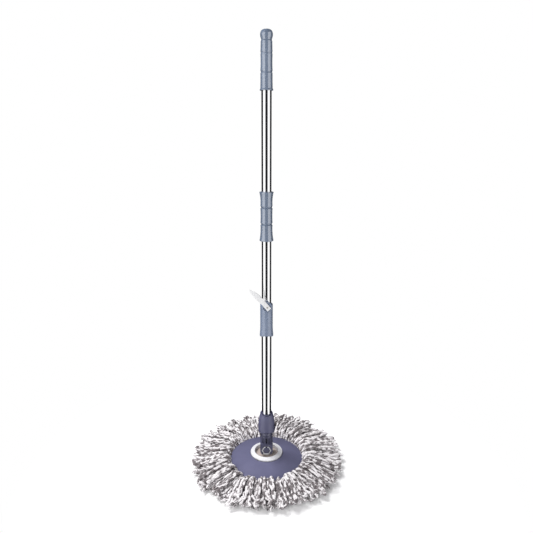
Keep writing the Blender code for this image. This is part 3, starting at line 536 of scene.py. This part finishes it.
def lock_sleeve():
    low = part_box("lock_sleeve")[0]
    bore = LOWER_TUBE_R + GAP
    lip = UPPER_TUBE_R + 0.0006
    x, back_y, pivot_z = lever_place()
    front_y = back_y + GAP
    z0, z1 = low.z, pivot_z + 0.0022
    line = [
        (0.01410, z0), (0.01448, z0 + 0.0006), (0.01450, z0 + 0.0024), (0.01428, z0 + 0.0070),
        (0.01384, z0 + 0.0120),
        (0.01350, z0 + 0.0180), (0.01340, z0 + 0.0250), (0.01338, z0 + 0.0400), (0.01338, z1 - 0.0100),
        (0.01336, z1 - 0.0024),
        (0.01322, z1 - 0.0008), (0.01280, z1),
    ]
    outline = [(bore, z0), *curve_through(line, 5), (lip, z1), (lip, z1 - 0.0024), (bore, z1 - 0.0024)]

    def arched(angle, radius, height):
        share = max(0.0, (z0 + 0.014 - height) / 0.014)
        return radius, height + 0.0034 * share * max(0.0, -math.sin(angle)) ** 2

    made = lathed("lock_sleeve_shell", outline, SLEEVE_BLUE, sharp=50, shape=arched)
    boss_r = 0.0103
    boss = pin("boss", boss_r, front_y, -0.0122, x, pivot_z, SLEEVE_BLUE, 72)
    cut(made, boss, "UNION")
    first, last = math.radians(-138), math.radians(46)
    ear_r, wall = boss_r - 0.0001, 0.0015
    ear = [*arc(ear_r, first, last, 40, x, pivot_z), *arc(ear_r - wall, last, first, 40, x, pivot_z)]
    cut(made, slab("ear", ear, front_y - 0.0030, front_y + 0.0008, SLEEVE_BLUE, 0.0005), "UNION")
    cut(made,
        pin("pocket", 0.0046, front_y - 0.001, front_y + 0.0032, x - 0.0042, pivot_z - 0.0044, SLEEVE_BLUE,
        48))
    cut(made, pin("pin_hole", 0.0019, -0.03, front_y + 0.0030, x, pivot_z, SLEEVE_BLUE, 32))
    settled(made, 0.00035)
    return fit(made, "lower_pole", "blue_plastic", "lock_sleeve")


def lock_lever():
    """Leaf-shaped blade, thick at its square root and thinner towards the tip."""
    x, back_y, pivot_z = lever_place()
    length, half, back = 0.0530, 0.0050, 0.0066
    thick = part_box("lock_lever")[1].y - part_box("lock_lever")[0].y
    right = [(half, -back), (half, 0.0), (half, length * 0.30), (half * 0.98, length * 0.46),
        (half * 0.84, length * 0.62),
             (half * 0.45, length * 0.78), (-half * 0.10, length * 0.90), (-half * 0.55, length * 0.985)]
    left = [(-half * 0.78, length), (-half * 0.98, length * 0.955), (-half * 1.18, length * 0.84),
        (-half * 1.25, length * 0.66),
            (-half * 1.16, length * 0.46), (-half * 1.03, length * 0.28), (-half, length * 0.12),
            (-half, -back)]
    rows = 28
    bm = bmesh.new()
    rings = []
    for k in range(rows + 1):
        height = -back + (length + back) * k / rows
        a = side_at(right, height)
        b = side_at(left, height)
        taper = 1.0 - 0.42 * max(0.0, height / length) ** 1.4
        depth = thick * taper
        edge = min(0.0011, (a - b) * 0.30)
        front = back_y - thick + (thick - depth) * 0.35
        rear = front + depth
        ring = [(a, rear - edge * 0.5), (a - edge * 0.3, rear - edge * 0.1), (a - edge, rear),
            (b + edge, rear),
                (b + edge * 0.3, rear - edge * 0.1), (b, rear - edge * 0.5), (b, front + edge),
                (b + edge * 0.3, front + edge * 0.3),
                (b + edge, front), ((a + b) / 2, front), (a - edge, front),
                (a - edge * 0.3, front + edge * 0.3),
                (a, front + edge)]
        rings.append([bm.verts.new((px, py, height)) for px, py in ring])
    count = len(rings[0])
    for low, high in zip(rings, rings[1:]):
        for k in range(count):
            n = (k + 1) % count
            bm.faces.new((low[k], low[n], high[n], high[k]))
    bm.faces.new(rings[0])
    bm.faces.new(rings[-1])
    made = mesh_piece("lock_lever_blade", bm, LEVER_WHITE, 40)
    turn = Matrix.Rotation(-math.radians(40), 4, "Y")
    made.data.transform(Matrix.Translation((x, 0, pivot_z)) @ turn)
    cut(made, pin("hole", 0.0019, -0.04, -0.012, x, pivot_z, LEVER_WHITE, 32))
    settled(made, 0.0003, 40)
    return fit(made, "lever_arm", "white_plastic", "lock_lever")


def side_at(line, height):
    """The x of an edge of (x, height) points at a height."""
    if height >= max(line[0][1], line[-1][1]):
        return line[-1][0] if line[-1][1] > line[0][1] else line[0][0]
    for (xa, za), (xb, zb) in zip(line, line[1:]):
        if min(za, zb) <= height <= max(za, zb) and za != zb:
            return xa + (xb - xa) * (height - za) / (zb - za)
    return line[0][0] if abs(line[0][1] - height) < abs(line[-1][1] - height) else line[-1][0]


def lever_pin():
    x, _, pivot_z = lever_place()
    low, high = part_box("lever_pin")
    made = pin("lever_pin_crowned", 0.0016, low.y, high.y, x, pivot_z, PIN_GREY, 32, 0.0005)
    return fit(made, "lower_pole", "plain_steel", "lever_pin")


# ---------------------------------------------------------------- collar and joint


def collar():
    low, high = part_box("collar")
    z0, z1 = low.z, high.z
    bore = LOWER_TUBE_R + GAP
    line = [
        (0.01640, z0), (0.01740, z0 + 0.0006), (0.01815, z0 + 0.0018), (0.01850, z0 + 0.0038),
        (0.01858, z0 + 0.0070),
        (0.01852, z0 + 0.0130), (0.01834, z0 + 0.0190), (0.01798, z0 + 0.0250), (0.01738, z0 + 0.0305),
        (0.01655, z0 + 0.0355),
        (0.01555, z0 + 0.0400), (0.01482, z0 + 0.0428), (0.01440, z0 + 0.0444),
    ]
    top = [(0.01412, z1 - 0.0015), (0.01430, z1 - 0.0009), (0.01420, z1 - 0.0002), (0.01380, z1),
        (0.01190, z1 - 0.0002)]
    outline = [(bore, z0), *curve_through([*line, *top], 5), (bore, z1 - 0.0010)]

    def dipped(angle, radius, height):
        share = max(0.0, (height - z1 + 0.010) / 0.010)
        low_share = max(0.0, (z0 + 0.010 - height) / 0.010) if radius > 0.0162 else 0.0
        return radius, height + (0.0042 * low_share - 0.0034 * share) * max(0.0, -math.sin(angle)) ** 2

    made = lathed("collar_bell", outline, COLLAR_BLUE, sharp=50, shape=dipped)
    screw_z = (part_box("collar_screw")[0].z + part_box("collar_screw")[1].z) / 2
    cut(made, pin("screw_hole", 0.0033, 0.0138, 0.03, 0, screw_z, COLLAR_BLUE, 32))
    settled(made)
    return fit(made, "lower_pole", "disc_plastic", "collar")


def collar_screw():
    low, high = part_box("collar_screw")
    z = (low.z + high.z) / 2
    radius = (high.z - low.z) / 2
    outline = [(0, low.y), (0.0016, low.y), (0.0016, high.y - 0.0016), (radius, high.y - 0.0016),
        (radius, high.y - 0.0009),
               (radius * 0.8, high.y - 0.0003), (radius * 0.4, high.y), (0, high.y)]
    made = lathed("collar_screw_crosshead", outline, STEEL, 32)
    for turn in (0, math.pi / 2):
        bar = block("slot", (-0.0004, 0.0004), (-0.0017, 0.0017), (high.y - 0.0009, high.y + 0.001), STEEL)
        bar.data.transform(Matrix.Rotation(turn, 4, "Z"))
        cut(made, bar)
    settled(made)
    made.data.transform(Matrix.Translation((0, 0, z)) @ Matrix.Rotation(-math.pi / 2, 4, "X"))
    return fit(made, "lower_pole", "plain_steel", "collar_screw")


def hexagon(radius):
    return [(radius * math.cos(k * math.pi / 3), radius * math.sin(k * math.pi / 3)) for k in range(6)]


def yoke():
    """Neck with ribs, two pairs of jaws round the knuckle, and the hidden spigot."""
    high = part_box("yoke")[1]
    jaw_bore, jaw_r, depth = 0.0108, 0.0142, 0.0134
    neck_r, neck_top, shoulder_r = 0.0134, PIVOT_Z + 0.0355, 0.0122
    spigot_r = LOWER_TUBE_R - TUBE_WALL - GAP
    floor = PIVOT_Z + jaw_bore + 0.0030
    outline = rounded([
        (0.0, floor), (neck_r, floor, 0.0006), (neck_r, neck_top - 0.0030, 0.0004),
        (neck_r - 0.0007, neck_top - 0.0026, 0.0002),
        (neck_r - 0.0007, neck_top - 0.0016, 0.0002), (neck_r + 0.0008, neck_top - 0.0012, 0.0003),
        (neck_r + 0.0008, neck_top, 0.0006),
        (shoulder_r, neck_top), (shoulder_r, neck_top + 0.0062, 0.0004), (spigot_r, neck_top + 0.0062),
        (spigot_r, high.z, 0.0012), (0.0, high.z),
    ])
    made = lathed("yoke_neck", outline, JOINT_BLUE, 72)
    tip = math.radians(40)
    start, end = -math.pi / 2 + tip, 3 * math.pi / 2 - tip
    top = PIVOT_Z + jaw_bore + 0.0050
    cheek = [
        (jaw_r, top), (-jaw_r, top), *arc(jaw_r, math.pi, end, 20, 0.0, PIVOT_Z),
        *arc(jaw_bore, end, start, 56, 0.0, PIVOT_Z),
        *arc(jaw_r, start, 0.0, 20, 0.0, PIVOT_Z),
    ]
    cut(made, slab("cheek", cheek, -depth, depth, JOINT_BLUE), "UNION")
    cut(made,
        block("slot", (-0.03, 0.03), (-0.0052, 0.0052), (PIVOT_Z - 0.03, PIVOT_Z + jaw_bore + 0.0006),
        JOINT_BLUE))
    z = (floor + 0.0026, neck_top - 0.0042)
    for side in (-1, 1):
        face = sorted((side * (neck_r - 0.0085), side * (neck_r + 0.004)))
        cut(made, block("slit", (-0.0022, 0.0022), face, z, JOINT_BLUE))
        for edge in (-1, 1):
            inner = sorted((side * (neck_r - 0.0060), side * (neck_r + 0.004)))
            cut(made, block("panel", sorted((edge * 0.0038, edge * 0.0102)), inner, z, JOINT_BLUE))
    settled(made, 0.0003)
    return fit(made, "lower_pole", "yoke_plastic", "yoke")


def turntable():
    """White ring with a step, a recess, and the stem that holds the hexagonal knuckle."""
    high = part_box("retainer_ring")[1]
    drum_low = high.z + GAP
    recess_r, drum_r = 0.0265, 0.0335
    ring_top, recess_z = LEDGE_Z + 0.0028, LEDGE_Z - 0.0075
    outline = rounded([
        (0.0, drum_low), (drum_r, drum_low, 0.0006), (drum_r, DISC_TOP_Z + GAP),
        (FLANGE_R, DISC_TOP_Z + GAP, 0.0003),
        (FLANGE_R, LEDGE_Z, 0.0010), (FLANGE_R - 0.0030, LEDGE_Z, 0.0003),
        (FLANGE_R - 0.0036, LEDGE_Z + 0.0007, 0.0003),
        (recess_r + 0.0014, ring_top, 0.0010), (recess_r, ring_top - 0.0006, 0.0006),
        (recess_r, recess_z, 0.0006), (0.0, recess_z),
    ])

    def notched(angle, radius, height):
        away = abs(math.remainder(angle - math.radians(232), math.tau))
        if radius > drum_r + 0.0010 and away < math.radians(7):
            return radius - 0.0011 * (1 - away / math.radians(7)) ** 0.5, height
        return radius, height

    made = lathed("turntable_ring", outline, WHITE_PLASTIC, 120, shape=notched)
    hex_r, half = 0.0105, 0.0135
    stem = slab("stem",
        [(-0.0055, recess_z - 0.001), (0.0055, recess_z - 0.001), (0.0048, PIVOT_Z - 0.005),
        (-0.0048, PIVOT_Z - 0.005)],
                -0.0047, 0.0047, WHITE_PLASTIC)
    cut(made, stem, "UNION")
    head = slab("head", hexagon(hex_r), -half, half, WHITE_PLASTIC)
    head.data.transform(Matrix.Translation((0, 0, PIVOT_Z)))
    cut(made, head, "UNION")
    for side in (-1, 1):
        reach = sorted((side * (half - 0.0030), side * (half + 0.003)))
        pocket = slab("pocket", hexagon(hex_r - 0.0016), *reach, WHITE_PLASTIC)
        pocket.data.transform(Matrix.Translation((0, 0, PIVOT_Z)))
        cut(made, pocket)
        deep = sorted((side * (half - 0.0080), side * (half + 0.003)))
        notch = block("notch", (-0.0019, 0.0019), deep, (PIVOT_Z + 0.0050, PIVOT_Z + 0.0120), WHITE_PLASTIC)
        cut(made, notch)
    cut(made, pin("bore", 0.0033, -half, half, 0, PIVOT_Z, WHITE_PLASTIC))
    settled(made, 0.0003)
    return fit(made, "turntable_hub", "white_plastic", "turntable")


def turntable_washer():
    low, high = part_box("turntable_washer")
    outer = high.x
    inner = 0.0078
    outline = rounded([
        (inner, low.z, 0.0002), (outer, low.z, 0.0002), (outer, high.z - 0.0003, 0.0003),
        (outer - 0.0014, high.z - 0.0003, 0.0001),
        (outer - 0.0016, high.z, 0.0002), (inner, high.z, 0.0003),
    ], 3)
    made = lathed("turntable_washer_ring", outline, BEIGE_PLASTIC, 96)
    return fit(made, "turntable_hub", "beige_plastic", "turntable_washer")


# ---------------------------------------------------------------- disc


def mop_disc():
    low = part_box("mop_disc")[0]
    seat_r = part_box("bearing_ring")[1].x + GAP
    land_r = FLANGE_R + 0.0012
    rise = 0.0125
    rim_top = DISC_TOP_Z - rise
    rim_z = rim_top - 0.0034
    steps = 20
    reach = DISC_R - 0.0020 - land_r
    dome = [(land_r + reach * i / steps,
        rim_top + rise * (1 - (i / steps) ** 1.6)) for i in range(steps + 1)]
    under = [(r, z - 0.0024) for r, z in dome if SOCKET_R + 0.004 < r < DISC_R - 0.006]
    socket_r, socket_z = SOCKET_R, low.z
    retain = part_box("retainer_ring")
    ledge = retain[1].z + GAP
    bore = retain[1].x + 0.0005
    outline = rounded([
        (seat_r, ledge), (seat_r, DISC_TOP_Z, 0.0004), (land_r - 0.0006, DISC_TOP_Z, 0.0004),
        (land_r - 0.0004, DISC_TOP_Z - 0.0004),
        *dome[1:], (DISC_R - 0.0010, rim_top - 0.00035), (DISC_R - 0.0002, rim_top - 0.0009, 0.0004),
        (DISC_R, rim_top - 0.0016),
        (DISC_R, rim_z, 0.0006), (DISC_R - 0.0030, rim_z, 0.0006), *reversed(under),
        (socket_r, under[0][1]),
        (socket_r, socket_z + 0.0020), (socket_r + 0.0012, socket_z + 0.0012, 0.0004),
        (socket_r + 0.0006, socket_z, 0.0003),
        (bore, socket_z), (bore, ledge),
    ], 4)
    made = lathed("mop_disc_dome", outline, DISC_BLUE, 160, sharp=40)
    return fit(made, "mop_head", "disc_plastic", "mop_disc")


# ---------------------------------------------------------------- yarn


def cord_tree():
    """Geometry Nodes tree that lays cords, or loops of cord, outwards from a ring."""
    tree = bpy.data.node_groups.new("laid_cords", "GeometryNodeTree")
    for name, kind in (
        ("Count", "Int"), ("Rings", "Int"), ("Sides", "Int"), ("Root Radius", "Float"), ("Reach", "Float"),
        ("Root Height", "Float"),
        ("Crest", "Float"), ("Tip Height", "Float"), ("Thickness", "Float"), ("Wave", "Float"),
        ("Wave Length", "Float"),
        ("Tangle", "Float"), ("Fold", "Float"), ("Loop Width", "Float"), ("Lean", "Float"),
        ("Bundles", "Int"), ("Seed", "Int"),
        ("Finish", "Material"),
    ):
        tree.interface.new_socket(name, in_out="INPUT", socket_type=f"NodeSocket{kind}")
    tree.interface.new_socket("Geometry", in_out="OUTPUT", socket_type="NodeSocketGeometry")
    given = tree.nodes.new("NodeGroupInput")
    size = {s.name: Field(tree, s) for s in given.outputs if s.name}

    line = add(tree, "GeometryNodeCurvePrimitiveLine", {"End": (1, 0, 0)})
    line = add(tree, "GeometryNodeResampleCurve", {"Curve": line, "Count": size["Rings"]})
    copies = tree.nodes.new("GeometryNodeDuplicateElements")
    copies.domain = "SPLINE"
    join(tree, line, copies.inputs["Geometry"])
    join(tree, size["Count"], copies.inputs["Amount"])
    cords = Field(tree, copies.outputs["Geometry"])
    which = Field(tree, copies.outputs["Duplicate Index"])
    drawn = [0]

    def chance(low, high):
        """A random number for each cord."""
        drawn[0] += 1
        made = tree.nodes.new("FunctionNodeRandomValue")
        made.data_type = "FLOAT"
        made.inputs[2].default_value = low
        made.inputs[3].default_value = high
        join(tree, which, made.inputs["ID"])
        join(tree, size["Seed"] * 31.0 + float(drawn[0]), made.inputs["Seed"])
        return Field(tree, made.outputs[1])

    t = add(tree, "GeometryNodeSplineParameter")
    folded = t * 2.0 - 1.0
    fold_reach = 1.0 - folded.calc("ABSOLUTE").calc("POWER", 1.7)
    out = t + size["Fold"] * (fold_reach - t)
    back = size["Fold"] * folded.calc("SIGN")
    reach = size["Reach"] * chance(0.82, 1.06)
    start = (which + chance(0.0, 0.9)) / size["Count"] * math.tau
    gather = (start * size["Bundles"]).calc("SINE") * 0.62 / size["Bundles"] * (out * 3.0).calc("MINIMUM",
        1.0)
    angle = start - gather + out * chance(-0.10, 0.10)
    rear = start.calc("SINE")
    wave_turn = out * reach / (size["Wave Length"] * chance(0.75, 1.3)) * math.tau + chance(0,
        math.tau) + back * chance(0.4, 2.6)
    ramp = (out * 6.0).calc("MINIMUM", 1.0)
    side = size["Wave"] * chance(0.5, 1.35) * wave_turn.calc("SINE") * ramp
    side = side + size["Tangle"] * chance(-1.0, 1.0) * out * out
    curl = ((out - 0.78) * 4.5).calc("MAXIMUM", 0.0)
    side = side + curl * curl * size["Tangle"] * chance(-1.3, 1.3)
    loop_side = folded * (1.0 - folded * folded) * 2.6 + folded * 0.55
    side = side + size["Fold"] * size["Loop Width"] * loop_side * chance(0.7, 1.3)
    radius = size["Root Radius"] + reach * out - curl * curl * size["Tangle"] * chance(0.0, 0.9)
    front = (rear * -1.0).calc("MAXIMUM", 0.0)
    radius = radius + size["Lean"] * (rear - front * 0.6) * out
    fall = 1.0 - out
    share = out / 0.20
    crest = share * (share * -1.0 + 1.0).calc("EXPONENT")
    lift_turn = out * reach / (size["Wave Length"] * chance(0.7, 1.2)) * math.tau + chance(0, math.tau)
    height = size["Tip Height"] * chance(0.5,
        1.5) + (size["Root Height"] - size["Tip Height"]) * fall * fall
    height = height + size["Crest"] * chance(0.75, 1.2) * crest
    height = height + size["Lean"] * (rear.calc("MAXIMUM",
        0.0) * 0.75 + front * 0.3) * (out * 2.0).calc("MINIMUM", 1.0)
    height = height + size["Wave"] * 0.55 * lift_turn.calc("SINE") * ramp
    height = height.calc("MAXIMUM", size["Thickness"] * 0.5 + 0.0006)
    cosine, sine = angle.calc("COSINE"), angle.calc("SINE")
    place = add(tree, "ShaderNodeCombineXYZ",
        {"X": radius * cosine - side * sine, "Y": radius * sine + side * cosine, "Z": height})
    cords = add(tree, "GeometryNodeSetPosition", {"Geometry": cords, "Position": place})

    def store(geometry, name, value, kind="FLOAT"):
        keys = {"Geometry": geometry, "Name": name, "Value": value}
        return add(tree, "GeometryNodeStoreNamedAttribute", keys, data_type=kind, domain="POINT")

    swell = (t * reach / (size["Wave Length"] * 0.55) * math.tau + chance(0,
        math.tau)).calc("SINE") * 0.13 + 1.0
    end = ((1.0 - t) * 14.0 + 0.35).calc("MINIMUM", 1.0) * (t * 14.0 + 0.35).calc("MINIMUM", 1.0)
    cords = store(cords, "cord_length", t * reach * (size["Fold"] + 1.0))
    cords = store(cords, "cord_tone", chance(0.0, 1.0))
    thickness = size["Thickness"] * 0.5 * chance(0.82, 1.15) * swell * end
    ring = add(tree, "GeometryNodeCurvePrimitiveCircle", {"Resolution": size["Sides"], "Radius": 1.0})
    ring = store(ring, "cord_round", add(tree, "GeometryNodeInputPosition"), "FLOAT_VECTOR")
    cords = add(tree, "GeometryNodeCurveToMesh",
        {"Curve": cords, "Profile Curve": ring, "Scale": thickness, "Fill Caps": True})
    cords = add(tree, "GeometryNodeSetShadeSmooth", {"Geometry": cords})
    cords = add(tree, "GeometryNodeRealizeInstances", {"Geometry": cords})
    cords = add(tree, "GeometryNodeSetMaterial", {"Geometry": cords, "Material": size["Finish"]})
    result = tree.nodes.new("NodeGroupOutput")
    join(tree, cords, result.inputs[0])
    return tree


def laid_cords(name, tree, values):
    """Runs the cord tree with these values, and keeps its result as a plain mesh."""
    made = bpy.data.objects.new(name, bpy.data.meshes.new(name))
    bpy.context.scene.collection.objects.link(made)
    step = made.modifiers.new("cords", "NODES")
    step.node_group = tree
    for socket in tree.interface.items_tree:
        if socket.in_out == "INPUT" and socket.name in values:
            step[socket.identifier] = values[socket.name]
    graph = bpy.context.evaluated_depsgraph_get()
    mesh = bpy.data.meshes.new_from_object(made.evaluated_get(graph), preserve_all_data_layers=True,
        depsgraph=graph)
    made.modifiers.clear()
    made.data = mesh
    mesh.name = name
    return made


def yarn():
    tree = cord_tree()
    common = {"Rings": 17, "Sides": 6, "Thickness": 0.0056, "Wave": 0.0013, "Wave Length": 0.021,
        "Tangle": 0.0075, "Fold": 0.0,
              "Loop Width": 0.0, "Lean": 0.009, "Bundles": 27}
    layers = {
        # The under and low layers take the darker yarn: painted shade beneath the top cords.
        "yarn_under": {"Count": 126, "Root Radius": 0.048, "Reach": 0.109, "Root Height": 0.0065,
        "Crest": 0.0, "Tip Height": 0.004,
                       "Finish": YARN_PAINTED_SHADE, "Seed": 1, "Bundles": 1, "Lean": 0.006},
        "yarn_low": {"Count": 124, "Root Radius": 0.080, "Reach": 0.085, "Root Height": 0.011,
        "Crest": 0.006, "Tip Height": 0.007,
                     "Finish": YARN_PAINTED_SHADE, "Seed": 2, "Bundles": 1},
        "yarn_outer": {"Count": 116, "Root Radius": 0.106, "Reach": 0.068, "Root Height": 0.018,
        "Crest": 0.002, "Tip Height": 0.0085,
                       "Finish": YARN_TOP, "Seed": 3, "Rings": 13},
        "yarn_middle": {"Count": 122, "Root Radius": 0.0805, "Reach": 0.096, "Root Height": 0.0135,
        "Crest": 0.0105,
                        "Tip Height": 0.0105, "Finish": YARN_TOP, "Seed": 4},
        "yarn_top": {"Count": 112, "Root Radius": 0.0805, "Reach": 0.095, "Root Height": 0.0145,
        "Crest": 0.0150,
                     "Tip Height": 0.0130, "Finish": YARN_TOP, "Seed": 5},
        "yarn_loops": {"Count": 46, "Root Radius": 0.083, "Reach": 0.095, "Root Height": 0.0145,
        "Crest": 0.0145,
                       "Tip Height": 0.0135, "Finish": YARN_TOP, "Seed": 6, "Rings": 33, "Fold": 1.0,
                       "Loop Width": 0.0056},
    }
    for name, values in layers.items():
        made = laid_cords(name, tree, {**common, **values})
        made.visible_glossy = False
        fit(made, "mop_head", "yarn", "yarn_ring")


# ---------------------------------------------------------------- studio


def area_light(name, at, towards, width, height, power, glossy=False):
    """A panel of light. One kind is seen only in reflections, and the other only lights the surfaces."""
    data = bpy.data.lights.new(name, "AREA")
    data.shape = "RECTANGLE"
    data.size = width
    data.size_y = height
    data.energy = power
    made = bpy.data.objects.new(name, data)
    made.location = at
    made.rotation_euler = (Vector(towards) - Vector(at)).to_track_quat("-Z", "Y").to_euler()
    made.visible_camera = False
    made.visible_glossy = glossy
    made.visible_diffuse = not glossy
    bpy.context.scene.collection.objects.link(made)
    return made


def studio():
    scene = bpy.context.scene
    scene.view_settings.view_transform = "Standard"
    scene.view_settings.look = "None"

    bm = bmesh.new()
    bmesh.ops.create_circle(bm, cap_ends=True, segments=64, radius=14)
    made, tree, shader = finish_base("studio_floor")
    pale = noise(tree, place_on(tree), 3, 2)
    join(tree, mixed(tree, pale, (0.90, 0.90, 0.90), (0.92, 0.92, 0.92)), shader.inputs["Base Color"])
    shader.inputs["Roughness"].default_value = 0.9
    shader.inputs["Specular IOR Level"].default_value = 0.0
    shader.inputs["Emission Color"].default_value = (1.0, 1.0, 1.0, 1.0)
    shader.inputs["Emission Strength"].default_value = 0.06
    where = add(tree, "ShaderNodeTexCoord", output=3)
    away = add(tree, "ShaderNodeVectorMath", {0: where}, output=1, operation="LENGTH")
    glow = add(tree, "ShaderNodeEmission", {"Color": (1.0, 1.0, 1.0, 1.0), "Strength": 1.0})
    blend = tree.nodes.new("ShaderNodeMixShader")
    join(tree, spread(tree, away, 0.24, 0.55, 0.0, 1.0), blend.inputs[0])
    tree.links.new(shader.outputs[0], blend.inputs[1])
    join(tree, glow, blend.inputs[2])
    tree.links.new(blend.outputs[0], tree.nodes["Material Output"].inputs["Surface"])
    floor = mesh_piece("floor", bm, made)
    floor.location = (0, 0, -0.0004)
    floor.visible_glossy = False

    world = bpy.data.worlds.new("studio")
    world.use_nodes = True
    scene.world = world
    tree = world.node_tree
    tree.nodes.clear()
    ray = tree.nodes.new("ShaderNodeLightPath")
    camera_ray = Field(tree, ray.outputs["Is Camera Ray"])
    glossy_ray = Field(tree, ray.outputs["Is Glossy Ray"])
    tint = mixed(tree, glossy_ray, (0.30, 0.30, 0.31), (0.020, 0.020, 0.022))
    tint = mixed(tree, camera_ray, tint, (1.0, 1.0, 1.0))
    light = add(tree, "ShaderNodeBackground", {"Color": tint, "Strength": 1.0})
    result = tree.nodes.new("ShaderNodeOutputWorld")
    join(tree, light, result.inputs["Surface"])

    for side in (-1, 1):
        turn = math.radians(54.5) * side
        at = (1.6 * math.sin(turn), -1.6 * math.cos(turn), 0.25)
        area_light(f"softbox_{'left' if side < 0 else 'right'}", at, (0, 0, 0.25), 1.70, 3.3,
            21.5 if side < 0 else 19, glossy=True)
    area_light("overhead", (-1.7, 0.9, 3.6), (0, 0, 0), 2.0, 2.0, 165)
    area_light("key", (-1.1, -1.9, 1.5), (0, 0, 0.4), 1.0, 1.4, 32)
    area_light("fill", (1.5, -1.6, 0.9), (0, 0, 0.4), 1.0, 1.4, 7)

    data = bpy.data.cameras.new("camera")
    data.sensor_width = 36.0
    data.lens = 33.77
    camera = bpy.data.objects.new("camera", data)
    camera.location = (0.0, -1.0107, 0.7327)
    camera.rotation_euler = (math.radians(75.7), 0, 0)
    scene.collection.objects.link(camera)
    scene.camera = camera


# ---------------------------------------------------------------- the whole


finish_cad_nodes()
for tube_name, tube_radius, tube_body in (
    ("lower_tube", LOWER_TUBE_R, "lower_pole"),
    ("middle_tube", UPPER_TUBE_R, "upper_pole"),
    ("top_tube", UPPER_TUBE_R, "upper_pole"),
):
    fit(tube_piece(tube_name, tube_radius), tube_body, "chromed_tube", tube_name)
top_grip()
middle_grip()
lock_sleeve()
lock_lever()
lever_pin()
collar()
collar_screw()
yoke()
turntable()
turntable_washer()
mop_disc()
yarn()
studio()
